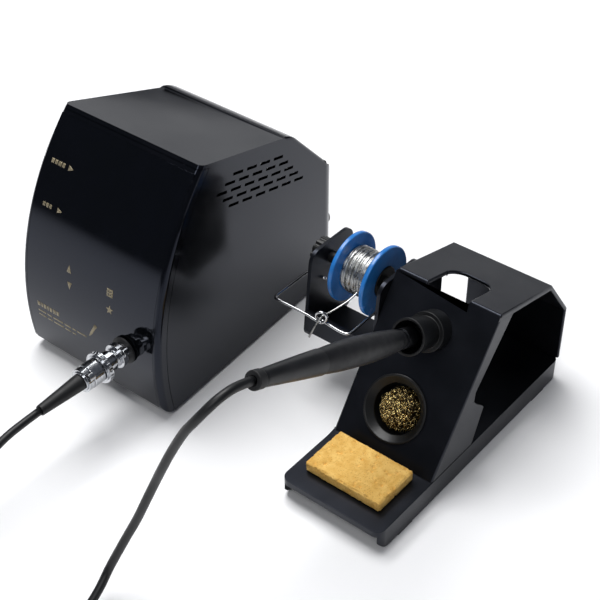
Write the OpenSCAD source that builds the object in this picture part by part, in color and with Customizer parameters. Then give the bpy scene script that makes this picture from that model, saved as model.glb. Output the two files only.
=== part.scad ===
// Soldering iron station: a control unit with a bowed touch front, an iron on its cord,
// and a moulded stand with a sponge, a brass-wool tip cleaner and a solder spool.
// Millimetres. +X is to the right of the front, +Y to the back, +Z up.
// The origin is on the table, under the middle of the footprint of unit, stand and iron.

/* [Control unit] */
// Width of the unit across its front
unit_w = 120; // [112:1:144]
// Height of the front top edge above the table
unit_h = 165; // [150:1:185]
// Depth from the foremost line of the front to the back wall
unit_d = 190; // [165:1:228]
// Radius of the bowed front, seen from the side
front_r = 182.6; // [165:0.1:220]
// Height of the foremost line of the bowed front
bulge_z = 39; // [32:1:46]
// Slope of the top towards the back, in degrees
top_slope = 15.3; // [8:0.1:20]
// Height at which the slanted shoulder meets the back wall
shoulder_h = 88; // [74:1:100]
// Slant of the shoulder, in degrees
shoulder_slope = 46; // [38:1:54]
// How much each side leans in towards the back, in degrees
side_taper = 3.5; // [0:0.1:5]
// Wall of the housing
wall = 2.4; // [2:0.1:3]
// Rounding of the side edges of the front
front_edge_r = 4.5; // [3:0.1:6]
// Rounding of the upright edges at the back
back_edge_r = 14; // [8:1:18]
// Rounding under the chin
chin_r = 12; // [9:0.5:14]

/* [Front] */
// Depth of the front bezel behind its own face
bezel_d = 8; // [6:0.5:12]
// Width of the bezel rim beside the overlay
bezel_rim = 5; // [4:0.5:8]
// Thickness of the glossy overlay
overlay_t = 1.5; // [1:0.1:2]
// Thickness of the bezel wall behind the overlay
bezel_t = 2.5; // [2:0.1:3.5]
// Gap of the seam between bezel and housing
seam = 0.4; // [0.3:0.1:0.6]
// Gap round the overlay in its recess
overlay_gap = 0.15; // [0.1:0.05:0.3]
// Width of a display window
window_w = 62; // [40:1:70]
// Height of a display window
window_h = 17; // [12:1:19]
// Height of the upper display
display_z_top = 137; // [132:1:140]
// Height of the lower display
display_z_low = 112; // [106:1:114]

/* [Vents and base] */
// Rows of vent slots on each side
vent_rows = 5; // [3:1:6]
// Slots in the top row
vent_cols = 4; // [2:1:4]
// Length of a vent slot
vent_l = 10; // [7:0.5:12]
// Height of a vent slot
vent_h = 2; // [1.2:0.1:2.4]
// Spacing of the slots along a row
vent_pitch = 14; // [13:0.5:16]
// Depth of the top row's middle line under the top face
vent_drop = 12.5; // [9:0.5:16]
// Spacing of the rows
vent_row_pitch = 5.2; // [4:0.1:6]
// Thickness of the base plate
base_t = 2.6; // [2:0.1:4]
// Diameter of a rubber foot
foot_d = 14; // [10:0.5:18]
// Height of the feet under the unit
foot_h = 3; // [2:0.5:5]

/* [Back panel] */
// Width of the mains inlet body
inlet_w = 27.4; // [26:0.1:30]
// Height of the mains inlet body
inlet_h = 20; // [19:0.1:22]
// Height of the inlet above the table
inlet_z = 38; // [32:1:46]
// Width of the rocker switch body
switch_w = 13; // [12:0.1:14]
// Height of the rocker switch body
switch_h = 19.4; // [18:0.1:20]
// Tilt of the rocker to each side, in degrees
rocker_tilt = 9; // [6:1:10]
// Diameter of the fuse holder body
fuse_d = 12.5; // [11:0.1:14]

/* [Iron plug] */
// Height of the plug's axis above the table
plug_z = 46.7; // [42:0.1:52]
// Sideways place of the plug's axis on the front, from the middle of the unit
plug_x = 32; // [20:1:36]
// Radius of the panel socket's barrel
socket_r = 6.2; // [5.5:0.1:7]
// Radius of the coupling nut's flange
nut_flange_r = 10.5; // [9.5:0.1:12]
// Radius of the plug's barrel
plug_r = 8; // [7.5:0.1:9]
// Bore radius of the coupling nut
nut_bore_r = 5.5; // [5:0.1:6]

/* [Stand] */
// Width of the stand
stand_w = 72; // [66:1:86]
// Clear distance between unit and stand
stand_gap = 96; // [90:1:115]
// Depth of the stand
stand_d = 195; // [190:1:234]
// Distance from the stand's front edge to the foot of its sloping plate
tray_d = 51; // [48:1:60]
// Height of the tray's surface above the table
tray_z = 16.3; // [15:0.1:19]
// Thickness of the tray
tray_t = 4.4; // [3:0.1:5]
// Thickness of the stand's walls
stand_t = 2.6; // [2.2:0.1:3.2]
// Length of the sloping plate
plate_l = 106.8; // [100:0.1:112]
// Lean of the sloping plate from the table, in degrees
plate_lean = 55.4; // [52:0.1:60]
// Width of the cut-out in the top
cutout_w = 29; // [24:1:34]
// Depth of the cut-out in the top plate
cutout_back = 28; // [22:1:32]
// Depth of the cut-out in the sloping plate
cutout_front = 10; // [6:0.5:11]

/* [Sponge and brass wool] */
// Width of the sponge
sponge_w = 54; // [44:1:58]
// Depth of the sponge
sponge_d = 34; // [28:1:38]
// Thickness of the sponge
sponge_t = 8; // [6:0.5:12]
// Radius of the mouth of the wool cup
wool_r = 15.4; // [13:0.1:17]
// Radius of the cup's rim
wool_rim_r = 21; // [19.5:0.1:23]
// Depth of the wool cup behind the plate
cup_depth = 15; // [12:0.5:16]

/* [Iron] */
// Length of the handle from its tail to its nose
handle_l = 137; // [120:1:150]
// Length of the soft grip, from the nose back
grip_l = 81; // [60:1:90]
// Largest radius of the grip
grip_r = 8.4; // [7.6:0.1:9]
// Radius of the barrel's bore seat at the nose
nut_r = 6; // [5.4:0.1:6.6]
// Radius of the steel barrel
barrel_r = 4.4; // [3.6:0.1:5]
// Length of the steel barrel from the nose
barrel_l = 60; // [45:1:64]
// Radius of the tip
tip_r = 3.2; // [2.4:0.1:3.5]
// Length of the tip outside its barrel
tip_l = 18; // [12:0.5:20]
// Lean of the holder and the iron from level, in degrees
iron_lean = 24.5; // [20:0.5:30]
// Radius of the cord
cord_r = 2.5; // [2:0.1:3]

/* [Solder spool] */
// Radius of the spool's flanges
spool_r = 23; // [18:0.5:25]
// Width of the spool over its flanges
spool_w = 26.5; // [22:0.5:30]
// Thickness of a flange
flange_t = 3; // [2:0.1:4]
// Radius of the spool's bore
spool_bore_r = 10; // [8:0.1:11]
// Radius of the wound solder
winding_r = 15.5; // [12:0.1:18]
// Radius of the spindle that carries the spool's bushing
spindle_r = 4; // [3:0.1:5]
// Height of the spool's axis
spool_z = 87; // [80:1:92]
// Thickness of the spool bracket
bracket_t = 2.4; // [1.5:0.1:3]
// Radius of the wire of the solder guide
guide_wire_r = 0.9; // [0.7:0.1:1.2]

/* [Hidden] */
$fn = 96;

// Small distance that lets a cutting tool pass a face
eps = 1;
// Radial play between a turning piece and what it turns on
running_gap = 0.05;
// Play between a loose piece and its seat
loose_gap = 0.3;

black = "#141416";
satin_black = "#1d1e21";
rubber_black = "#101113";
chrome = "#c9ccd1";
steel = "#9a9ea3";
board_green = "#1f5a3a";
sponge_yellow = "#e8b23a";
wool_gold = "#b98a2c";
spool_blue = "#3f86c8";
solder_silver = "#b9bcc2";

// The rounded front edges take a little off the width of the unit
front_trim = front_edge_r * (tan(side_taper) + 1 / cos(side_taper) - 1);

// Places of the unit and the stand, side by side with their middle at X = 0
total_w = unit_w - front_trim + stand_gap + stand_w;
unit_x = -total_w / 2 + unit_w / 2 - front_trim;
stand_x = total_w / 2 - stand_w / 2;

// How far the iron's nose lies behind the front, and how high
nose_back = 61.6;
nose_z = 99.8;
tail_d = 6;
tail_r = 4.7;
tail_collar_r = tail_r + 0.5;
fuse_out = 8.5;

// The front line is where the rear end and the tail of the iron are equally far from Y = 0
ahead = nose_back - handle_l * cos(iron_lean) - tail_collar_r * sin(iron_lean);
behind = max(unit_d + fuse_out, stand_d);
front_y = -(ahead + behind) / 2;
stand_front_y = front_y - 0.7;
back_y = front_y + unit_d;
stand_back_y = stand_front_y + stand_d;

// Side view of the unit
bow_y = front_y + front_r;
unit_low = foot_h;
top_edge_y = bow_y - sqrt(pow(front_r, 2) - pow(unit_h - bulge_z, 2));
ridge_y = (shoulder_h - unit_h + tan(shoulder_slope) * back_y - tan(top_slope) * top_edge_y)
        / (tan(shoulder_slope) - tan(top_slope));
ridge_z = unit_h - tan(top_slope) * (ridge_y - top_edge_y);
hood_t = wall + 0.2;
ridge_r = 30;
shoulder_r = 45;
front_wall = overlay_t + bezel_t;
front_overlay_half = unit_w / 2 - bezel_rim;

// Side view of the stand
foot_y = stand_front_y + tray_d;
fold_y = foot_y + plate_l * cos(plate_lean);
fold_z = tray_z + plate_l * sin(plate_lean);
top_back_y = stand_back_y - 24;
top_back_z = fold_z - 15.7;
back_top_z = fold_z - 46.9;
stand_left = stand_x - stand_w / 2;
stand_right = stand_x + stand_w / 2;

// The iron's axis runs from the nose of the handle into the holder
nose = [stand_x, front_y + nose_back, nose_z];
grip_nose_r = 7.4;
seam_r = 7.2;
funnel_mouth_r = 11.2;
funnel_tube_r = 9.6;
funnel_t = 1.6;
holder_start = 9;
holder_taper = 20;
holder_plate_at = 38.5;
holder_end = 66;

// The wool cup's place on the sloping plate, up from its foot, and off the middle
wool_up = 29.2;
wool_side = -3.5;

// ---- Helpers -------------------------------------------------------------------------

function unit(v) = v / norm(v);

function corner_in(pts, i) = unit(pts[(i + len(pts) - 1) % len(pts)] - pts[i]);
function corner_out(pts, i) = unit(pts[(i + 1) % len(pts)] - pts[i]);
function half_angle(pts, i) = acos(corner_in(pts, i) * corner_out(pts, i)) / 2;
function corner_centre(pts, i, r) =
    pts[i] + unit(corner_in(pts, i) + corner_out(pts, i)) * r / sin(half_angle(pts, i));
function corner_cut(pts, i, r) =
    r == 0 ? [pts[i]]
    : [pts[i] + corner_in(pts, i) * r / tan(half_angle(pts, i)),
       pts[i] + corner_out(pts, i) * r / tan(half_angle(pts, i))];

// A convex outline whose corners are rounded, each by its own radius
module rounded_polygon(pts, radii) {
    polygon([for (i = [0:len(pts) - 1]) each corner_cut(pts, i, radii[i])]);
    for (i = [0:len(pts) - 1])
        if (radii[i] > 0)
            translate(corner_centre(pts, i, radii[i]))
                circle(r = radii[i]);
}

module rounded_rect(w, h, r) {
    rounded_polygon([[-w / 2, -h / 2], [w / 2, -h / 2], [w / 2, h / 2], [-w / 2, h / 2]], [r, r, r, r]);
}

// A side view in Y and Z, drawn out along X from x0
module along_x(x0, length) {
    translate([x0, 0, 0])
        rotate([90, 0, 90])
            linear_extrude(height = length)
                children();
}

// A front view in X and Z, drawn out towards the back from y0
module along_y(y0, length) {
    translate([0, y0 + length, 0])
        rotate([90, 0, 0])
            linear_extrude(height = length)
                children();
}

module tube(r_out, r_in, h) {
    difference() {
        cylinder(r = r_out, h = h);
        translate([0, 0, -eps])
            cylinder(r = r_in, h = h + 2 * eps);
    }
}

// ---- Control unit --------------------------------------------------------------------

// Corners of the side view: the front is closed by the bow, so its own corners lie ahead of it
far_front = front_y - 40;
function side_corners(inset, low) =
    let (turn = (shoulder_slope + top_slope) / 2, reach = inset / cos((shoulder_slope - top_slope) / 2)) [
        [far_front, low],
        [back_y - inset, low],
        [back_y - inset, shoulder_h - inset * tan(shoulder_slope / 2)],
        [ridge_y - reach * sin(turn), ridge_z - reach * cos(turn)],
        [far_front, unit_h - inset / cos(top_slope) + tan(top_slope) * (top_edge_y - far_front)]
    ];

// The chin's rounding touches the bow and the underside
chin_z = unit_low + chin_r;
chin_y = bow_y - sqrt(pow(front_r - chin_r, 2) - pow(chin_z - bulge_z, 2));

module side_view(inset, low, chin) {
    round_r = chin_r - inset;
    on_bow = [bow_y, bulge_z] + unit([chin_y - bow_y, chin_z - bulge_z]) * (front_r - inset);
    difference() {
        intersection() {
            translate([bow_y, bulge_z])
                circle(r = front_r - inset);
            rounded_polygon(side_corners(inset, low), [0, 0, shoulder_r - inset, ridge_r - inset, 0]);
        }
        if (chin)
            polygon([on_bow, [chin_y, low], [front_y - 2, low - 5]]);
    }
    if (chin)
        translate([chin_y, chin_z])
            circle(r = round_r);
}

// Half the unit's width, a way back from the foremost line
function half_w(y) = unit_w / 2 - tan(side_taper) * (y - front_y);

module plan_view(inset) {
    side_inset = inset / cos(side_taper);
    front = half_w(front_y - 30) - side_inset;
    back = half_w(back_y - inset) - side_inset;
    rounded_polygon(
        [[-front, front_y - 30], [front, front_y - 30], [back, back_y - inset], [-back, back_y - inset]],
        [0, 0, back_edge_r - inset, back_edge_r - inset]);
}

// A wide disc about the bow's axis, whose rim rounds one side edge of the front
module edge_round(side, inset) {
    slip = 0.02;
    mirror([side < 0 ? 1 : 0, 0, 0])
        translate([unit_w / 2 - front_r * sin(side_taper), front_y + front_r * cos(side_taper), bulge_z])
            rotate([0, 0, side_taper])
                rotate([0, 90, 0])
                    rotate_extrude()
                        rounded_polygon(
                            [[0, -1.5 * unit_w], [front_r - inset + slip, -1.5 * unit_w],
                             [front_r - inset + slip, slip - inset], [0, slip - inset]],
                            [0, 0, front_edge_r - inset, 0]);
}

module unit_solid(inset, low, chin) {
    translate([unit_x, 0, 0])
        intersection() {
            along_x(-unit_w, 2 * unit_w)
                side_view(inset, low, chin);
            translate([0, 0, low - 30])
                linear_extrude(height = unit_h + 60)
                    plan_view(inset);
            edge_round(1, inset);
            edge_round(-1, inset);
        }
}

// Everything behind a distance from the bowed face
module behind_bow(depth) {
    translate([unit_x - unit_w, bow_y, bulge_z])
        rotate([0, 90, 0])
            cylinder(r = front_r - depth, h = 2 * unit_w);
}

// What lies under a plane that runs below the top face
module under_top(depth) {
    drop = depth / cos(top_slope);
    along_x(unit_x - unit_w, 2 * unit_w)
        polygon([
            [front_y - 50, -50],
            [bow_y, -50],
            [bow_y, unit_h - drop - tan(top_slope) * (bow_y - top_edge_y)],
            [front_y - 50, unit_h - drop + tan(top_slope) * (top_edge_y - front_y + 50)]
        ]);
}

// A place on the bowed face: local -Y points out of it and local Z runs up along it
module on_bow(x, z, depth) {
    angle = asin((z - bulge_z) / front_r);
    translate([unit_x + x, bow_y, bulge_z])
        rotate([-angle, 0, 0])
            translate([0, -front_r + depth, 0])
                children();
}

// Rows of slots along the top slope; each is shifted by half a pitch, and the rows widen to the back
module vent_slots() {
    middle = (vent_rows - 1) / 2;
    translate([unit_x, vent_front, unit_h - tan(top_slope) * (vent_front - top_edge_y)])
        rotate([-top_slope, 0, 0])
            for (row = [0:vent_rows - 1])
                for (col = [(abs(row - middle) - middle) / 2:vent_cols - 1 + row / 2])
                    translate([0, vent_pitch * col, -vent_drop - vent_row_pitch * row])
                        cube([2 * unit_w, vent_l, vent_h], center = true);
}
vent_front = top_edge_y + 40 - vent_drop * sin(top_slope);

// The openings of the back wall, with a gap round what sits in them
inlet_x = -26;
switch_x = 10;
fuse_x = 30;
module back_openings() {
    translate([unit_x, 0, 0])
        along_y(back_y - 4 * wall, 8 * wall) {
            translate([inlet_x, inlet_z])
                square([inlet_w + 2 * loose_gap, inlet_h + 2 * loose_gap], center = true);
            translate([switch_x, inlet_z])
                square([switch_w + 2 * loose_gap, switch_h + 2 * loose_gap], center = true);
            translate([fuse_x, inlet_z])
                circle(r = fuse_d / 2 + loose_gap);
            for (i = [-4:4])
                translate([6 * i - 1, 58])
                    square([2.2, 22]);
        }
}

module housing() {
    color(black)
        difference() {
            unit_solid(0, unit_low, true);
            unit_solid(wall, unit_low - 6, false);
            intersection() {
                under_top(hood_t - seam / 2);
                difference() {
                    translate([unit_x - unit_w, front_y - 20, -20])
                        cube([2 * unit_w, unit_d, 2 * unit_h]);
                    behind_bow(bezel_d + seam);
                }
            }
            vent_slots();
            back_openings();
        }
}

// The bezel's lap reaches into the housing, and its bosses carry the panel board
lap_d = 6;
lap_t = 1.2;
lap_gap = 0.15;
module bezel_lap() {
    difference() {
        intersection() {
            unit_solid(wall + lap_gap, unit_low + 10, false);
            behind_bow(front_wall);
            under_top(hood_t + wall + lap_gap);
        }
        intersection() {
            unit_solid(wall + lap_gap + lap_t, unit_low, false);
            under_top(hood_t + wall + lap_gap + lap_t);
        }
        behind_bow(bezel_d + lap_d);
    }
}

boss_r = 3;
module board_bosses() {
    intersection() {
        behind_bow(front_wall - 0.5);
        for (x = [-board_w / 2 + 5, board_w / 2 - 5])
            for (z = [-board_down + 5, board_up - 5])
                on_bow(0, board_z, board_depth)
                    translate([x, 0, z])
                        rotate([90, 0, 0])
                            cylinder(r = boss_r, h = 20);
    }
}

// The bow's front and its rim, open at the back
module bezel_shell() {
    difference() {
        intersection() {
            unit_solid(0, unit_low, true);
            under_top(hood_t + seam / 2);
        }
        behind_bow(bezel_d);
        intersection() {
            unit_solid(wall, unit_low + wall, true);
            behind_bow(front_wall);
            under_top(hood_t + seam / 2 + wall);
        }
    }
}

module bezel() {
    color(black)
        difference() {
            union() {
                bezel_shell();
                bezel_lap();
                board_bosses();
            }
            overlay_blank(overlay_gap);
            for (z = [display_z_top, display_z_low])
                on_bow(0, z, 0)
                    cube([window_w, 4 * front_wall, window_h], center = true);
            socket_hole();
        }
}

module socket_hole() {
    out_of_front(-20)
        cylinder(r = socket_r + loose_gap, h = 60);
}

// The overlay's own shape, grown by a gap all round
overlay_drop = 2.6;
overlay_low = unit_low + 7;
module overlay_blank(gap) {
    half = front_overlay_half + gap;
    intersection() {
        difference() {
            behind_bow(gap > 0 ? -eps : 0);
            behind_bow(overlay_t + gap);
        }
        under_top(hood_t + overlay_drop - gap);
        translate([unit_x - half, front_y - 2 * eps, overlay_low - gap])
            cube([2 * half, top_edge_y - front_y + 10, 2 * unit_h]);
    }
}

module overlay() {
    color("#0c0d10")
        difference() {
            overlay_blank(0);
            socket_hole();
        }
}

module base_plate() {
    color(satin_black)
        difference() {
            intersection() {
                unit_solid(wall + loose_gap, unit_low, false);
                behind_bow(bezel_d + seam + loose_gap);
                translate([unit_x - unit_w, front_y, unit_low])
                    cube([2 * unit_w, unit_d, base_t]);
            }
            for (i = [-5:5])
                translate([unit_x + 6 * i - 1.1, 20, unit_low - eps])
                    cube([2.2, 36, base_t + 2 * eps]);
        }
}

foot_front = front_y + 24;
foot_back = back_y - 22;
module foot(side, y) {
    color(rubber_black)
        translate([unit_x + side * (half_w(y) - 16), y, 0])
            cylinder(r1 = foot_d / 2 - 0.8, r2 = foot_d / 2, h = foot_h);
}
module foot_front_left() { foot(-1, foot_front); }
module foot_front_right() { foot(1, foot_front); }
module foot_back_left() { foot(-1, foot_back); }
module foot_back_right() { foot(1, foot_back); }

// ---- Inside the unit -----------------------------------------------------------------

// A block of digits behind a window, on the panel board
digits_t = 7;
digits_depth = front_wall + loose_gap;
module digits(z) {
    color("#2a1214")
        on_bow(0, z, digits_depth)
            translate([-window_w / 2 + 1, 0, -window_h / 2 + 1])
                cube([window_w - 2, digits_t, window_h - 2]);
}
module display_upper() { digits(display_z_top); }
module display_lower() { digits(display_z_low); }

board_z = (display_z_top + display_z_low) / 2;
board_w = 88;
board_up = 26;
board_down = 38;
board_t = 1.6;

// The board clears the backs of both displays, which lean with the bow
display_lean = asin((display_z_top - display_z_low) / 2 / front_r);
board_depth = front_r * (1 - cos(display_lean)) + digits_depth + digits_t + window_h / 2 * sin(display_lean) + 0.1;
module panel_board() {
    color(board_green)
        on_bow(0, board_z, board_depth)
            translate([-board_w / 2, 0, -board_down])
                cube([board_w, board_t, board_up + board_down]);
}

board_floor = unit_low + base_t;
module main_board() {
    color(board_green) {
        translate([unit_x - 38, -30, board_floor + 6])
            cube([76, 44, 1.6]);
        for (x = [-34, 34])
            for (y = [-26, 10])
                translate([unit_x + x, y, board_floor])
                    cylinder(r = 2.6, h = 6);
    }
}

module heat_sink() {
    color(steel) {
        translate([unit_x - 30, -26, board_floor + 7.6])
            cube([24, 14, 2]);
        for (i = [0:4])
            translate([unit_x - 30 + 5.5 * i, -26, board_floor + 9.6])
                cube([2, 14, 16]);
    }
}

core_w = 60;
core_h = 50;
core_d = 24;
core_y = back_y - 67.4;
module transformer_core() {
    color(steel)
        translate([unit_x - core_w / 2, core_y, board_floor])
            difference() {
                cube([core_w, core_d, core_h]);
                for (x = [10, core_w - 10 - 10])
                    translate([x, -eps, 10])
                        cube([10, core_d + 2 * eps, core_h - 20]);
            }
}

module transformer_winding() {
    color("#b5722e")
        translate([unit_x, core_y + core_d / 2, board_floor + 10.2])
            linear_extrude(height = core_h - 20.4)
                difference() {
                    rounded_rect(39, core_d + 16, 5);
                    square([20.2, core_d + 0.2], center = true);
                }
}

// ---- Back panel ----------------------------------------------------------------------

inlet_lip = 2;
module inlet() {
    color(black)
        translate([unit_x + inlet_x, 0, inlet_z])
            difference() {
                union() {
                    along_y(back_y, inlet_lip)
                        rounded_rect(inlet_w + 4, inlet_h + 4, 2);
                    along_y(back_y - 18, 18.5)
                        square([inlet_w, inlet_h], center = true);
                }
                along_y(back_y - 14, 20)
                    polygon([[-12, -8], [12, -8], [12, 4], [8, 8], [-8, 8], [-12, 4]]);
            }
}

module inlet_pins() {
    color(chrome)
        translate([unit_x + inlet_x, back_y - 14, inlet_z])
            for (p = [[-7, -2], [0, 2], [7, -2]])
                translate([p[0] - 1, 0, p[1] - 2])
                    cube([2, 12, 4]);
}

rocker_w = switch_w - 3;
rocker_r = 8;
rocker_dish_r = 12;
rocker_y = back_y - 6;
trunnion_r = 1.3;
trunnion_l = 0.9;
module switch_frame() {
    color(black)
        translate([unit_x + switch_x, 0, inlet_z])
            difference() {
                union() {
                    along_y(back_y, inlet_lip)
                        rounded_rect(switch_w + 3, switch_h + 3, 1.5);
                    along_y(back_y - 16, 16.5)
                        square([switch_w, switch_h], center = true);
                }
                along_y(back_y - 14.5, 20)
                    square([rocker_w, switch_h - 2], center = true);
                translate([-rocker_w / 2 - 1, rocker_y, 0])
                    rotate([0, 90, 0])
                        cylinder(r = trunnion_r + running_gap, h = rocker_w + 2);
            }
}

// The rocker turns about X on two short trunnions, and rests with its upper side pressed in
module rocker() {
    w = rocker_w - 2 * loose_gap;
    color("#b3201c")
        translate([unit_x + switch_x, rocker_y, inlet_z])
            rotate([rocker_tilt, 0, 0]) {
                along_x(-w / 2, w)
                    difference() {
                        intersection() {
                            circle(r = rocker_r);
                            translate([-4, -rocker_r])
                                square([2 * rocker_r, 2 * rocker_r]);
                        }
                        translate([rocker_dish_r + 5, 0])
                            circle(r = rocker_dish_r);
                    }
                translate([-rocker_w / 2 - trunnion_l, 0, 0])
                    rotate([0, 90, 0])
                        cylinder(r = trunnion_r, h = rocker_w + 2 * trunnion_l);
            }
}

module fuse_holder() {
    color(black)
        translate([unit_x + fuse_x, back_y, inlet_z])
            rotate([-90, 0, 0]) {
                translate([0, 0, -24])
                    tube(fuse_d / 2, 4.5, 24);
                tube(fuse_d / 2 + 2.2, 4.5, 2.4);
            }
}

module fuse_cap() {
    color(satin_black)
        translate([unit_x + fuse_x, back_y, inlet_z])
            rotate([-90, 0, 0])
                difference() {
                    union() {
                        translate([0, 0, -18])
                            cylinder(r = 4.5 - running_gap, h = 21);
                        translate([0, 0, 2.4 + running_gap])
                            cylinder(r = fuse_d / 2 + 0.6, h = fuse_out - 2.4 - running_gap);
                    }
                    translate([-5, -0.7, fuse_out - 1.8])
                        cube([10, 1.4, 4]);
                }
}

// ---- Socket and plug of the iron -----------------------------------------------------

// Distance along the plug's axis, out from the front's face
socket_face = bow_y - sqrt(pow(front_r, 2) - pow(plug_z - bulge_z, 2));
module out_of_front(distance) {
    translate([unit_x + plug_x, socket_face - distance, plug_z])
        rotate([90, 0, 0])
            children();
}

// A clamp ring with two screw ears on a slant
clamp_turn = 41;
module saddle(r, ear_at, ear_r, h, bore) {
    rotate([0, 0, clamp_turn])
        linear_extrude(height = h)
            difference() {
                union() {
                    circle(r = r);
                    square([2 * ear_at, 1.5 * ear_r], center = true);
                    for (side = [-1, 1])
                        translate([side * ear_at, 0])
                            circle(r = ear_r);
                }
                circle(r = bore);
                for (side = [-1, 1])
                    translate([side * ear_at, 0])
                        circle(r = 1.1);
            }
}

clamp_h = 4;
flange_h = 3;

// The bow stands this far ahead of the socket's middle at the flange's edge
flange_gap = 0.4;
module socket_flange() {
    color(rubber_black)
        out_of_front(0)
            translate([0, 0, flange_gap])
                tube(socket_r + 3, socket_r, 1.4);
}

module socket_shell() {
    color(chrome)
        out_of_front(-8) {
            cylinder(r = socket_r, h = 19);
            translate([0, 0, 19])
                cylinder(r = nut_bore_r - running_gap, h = 9);
        }
}

// The nut inside the front that holds the socket
module socket_nut() {
    color(steel)
        out_of_front(-front_wall - 4)
            difference() {
                cylinder(r = socket_r + 3, h = 3, $fn = 6);
                translate([0, 0, -eps])
                    cylinder(r = socket_r, h = 3 + 2 * eps);
            }
}

module socket_clamp() {
    color(chrome)
        out_of_front(5)
            saddle(socket_r + 1.9, socket_r + 3, 2.8, clamp_h, socket_r);
}

module coupling_nut() {
    color(chrome)
        out_of_front(13)
            difference() {
                union() {
                    cylinder(r = nut_bore_r + 1.3, h = 6.8);
                    translate([0, 0, 6.8])
                        cylinder(r = nut_flange_r, h = flange_h);
                    translate([0, 0, 6.8 + flange_h])
                        cylinder(r = nut_flange_r - 1.4, h = 1.2);
                }
                translate([0, 0, -eps])
                    cylinder(r = nut_bore_r, h = 40);
                for (i = [0:23])
                    rotate([0, 0, 15 * i])
                        translate([nut_flange_r + 0.35, 0, 6.8 + 0.5])
                            cylinder(r = 0.8, h = flange_h - 1);
            }
}

plug_start = 24.4;
module plug_shell() {
    color(chrome)
        out_of_front(plug_start) {
            difference() {
                union() {
                    cylinder(r = plug_r, h = 8.4);
                    translate([0, 0, 8.4])
                        cylinder(r = plug_r - 1.4, h = 5.6);
                }
                translate([0, 0, 3])
                    cylinder(r = 4.6, h = 20);
            }
            translate([0, 0, -4])
                cylinder(r = nut_bore_r - running_gap, h = 4);
        }
}

module plug_clamp() {
    color(chrome)
        out_of_front(plug_start + 9)
            saddle(plug_r - 0.2, plug_r + 0.6, 2.7, clamp_h, plug_r - 1.4);
}

boot_start = plug_start + 5;
boot_end = 70.5;
module plug_boot() {
    color(rubber_black)
        out_of_front(boot_start)
            difference() {
                union() {
                    cylinder(r = 4.6, h = 9.1);
                    translate([0, 0, 9.1])
                        cylinder(r1 = 5.3, r2 = 3.4, h = boot_end - boot_start - 9.1);
                }
                translate([0, 0, boot_end - boot_start - 8])
                    cylinder(r = cord_r, h = 20);
            }
}

// ---- Stand ---------------------------------------------------------------------------

pad_t = 0.8;
runner_front_r = tray_z - tray_t - pad_t;
runner_back_r = 9;
module stand_side_view() {
    intersection() {
        rounded_polygon(
            [[stand_front_y, pad_t], [stand_back_y, pad_t], [stand_back_y, tray_z], [stand_front_y, tray_z]],
            [runner_front_r, runner_back_r, 0, 0]);
        translate([stand_front_y - eps, 0])
            square([stand_d + 2 * eps, tray_z]);
    }
}

// The tray, with a runner under each side
module stand_base() {
    inner_w = stand_w - 2 * stand_t;
    color(satin_black)
        difference() {
            intersection() {
                along_x(stand_left, stand_w)
                    stand_side_view();
                translate([stand_x, (stand_front_y + stand_back_y) / 2, -eps])
                    linear_extrude(height = tray_z + 2 * eps)
                        rounded_rect(stand_w, stand_d, 6);
            }
            translate([stand_x - inner_w / 2, stand_front_y - eps, -eps])
                cube([inner_w, stand_d + 2 * eps, tray_z - tray_t + eps]);
        }
}

// A place on the sloping plate: local X to the right, local Y up the plate, local Z out of it
module on_plate(side, up) {
    translate([stand_x, foot_y, tray_z])
        rotate([plate_lean, 0, 0])
            translate([side, up, 0])
                children();
}

// Direction of the iron's axis, from its tail towards its tip
module on_iron(distance) {
    translate(nose)
        rotate([-90 - iron_lean, 0, 0])
            translate([0, 0, distance])
                children();
}

// A slot with two round corners, from y0 to y1
module open_slot(y0, y1, r_front, r_back) {
    w = cutout_w / 2;
    rounded_polygon([[-w, y0], [w, y0], [w, y1], [-w, y1]], [r_front, r_front, r_back, r_back]);
}

// The cut-out runs over the fold, down the sloping plate and back into the top
module cutout_tool() {
    on_plate(0, plate_l)
        translate([0, 0, -20])
            linear_extrude(height = 40)
                open_slot(-cutout_front, 20, 8, 0);
    translate([stand_x, fold_y, fold_z - 30])
        linear_extrude(height = 60)
            open_slot(-4, cutout_back, 0, 9);
}

// The sloping plate, with holes for the wool cup and the holder
module stand_plate() {
    color(satin_black)
        difference() {
            on_plate(-stand_w / 2, 0)
                translate([0, 0, -stand_t])
                    cube([stand_w, plate_l, stand_t]);
            translate([stand_left - eps, stand_front_y, tray_z - 20])
                cube([stand_w + 2 * eps, stand_d, 20]);
            cutout_tool();
            on_plate(wool_side, wool_up)
                translate([0, 0, -20])
                    cylinder(r = cup_seat_r, h = 40);
            on_iron(holder_plate_at - 30)
                cylinder(r = funnel_tube_r, h = 60);
            under_top_plate();
        }
}
cup_seat_r = wool_rim_r - 2.4;

// What lies beyond the underside of the top plate
top_lean = atan((fold_z - top_back_z) / (top_back_y - fold_y));
module under_top_plate() {
    translate([stand_left - eps, fold_y, fold_z])
        rotate([-top_lean, 0, 0])
            translate([0, -60, -stand_t])
                cube([stand_w + 2 * eps, 200, 60]);
}

// What lies in front of the sloping plate's back face
module before_plate() {
    on_plate(-stand_w, -40)
        translate([0, 0, -stand_t])
            cube([2 * stand_w, 2 * plate_l, 60]);
}

// The web's back edge steps in at half height, where a hand can reach the wool cup
module stand_web() {
    color(satin_black)
        difference() {
            along_x(stand_right - stand_t, stand_t)
                polygon([
                    [foot_y + 2, tray_z],
                    [foot_y + 42, tray_z],
                    [foot_y + 52, tray_z + 24],
                    [foot_y + 44, tray_z + 31],
                    [foot_y + 40, tray_z + 36],
                    [foot_y + 41, tray_z + 43],
                    [fold_y + 20, fold_z],
                    [fold_y, fold_z]
                ]);
            before_plate();
            under_top_plate();
        }
}

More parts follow.
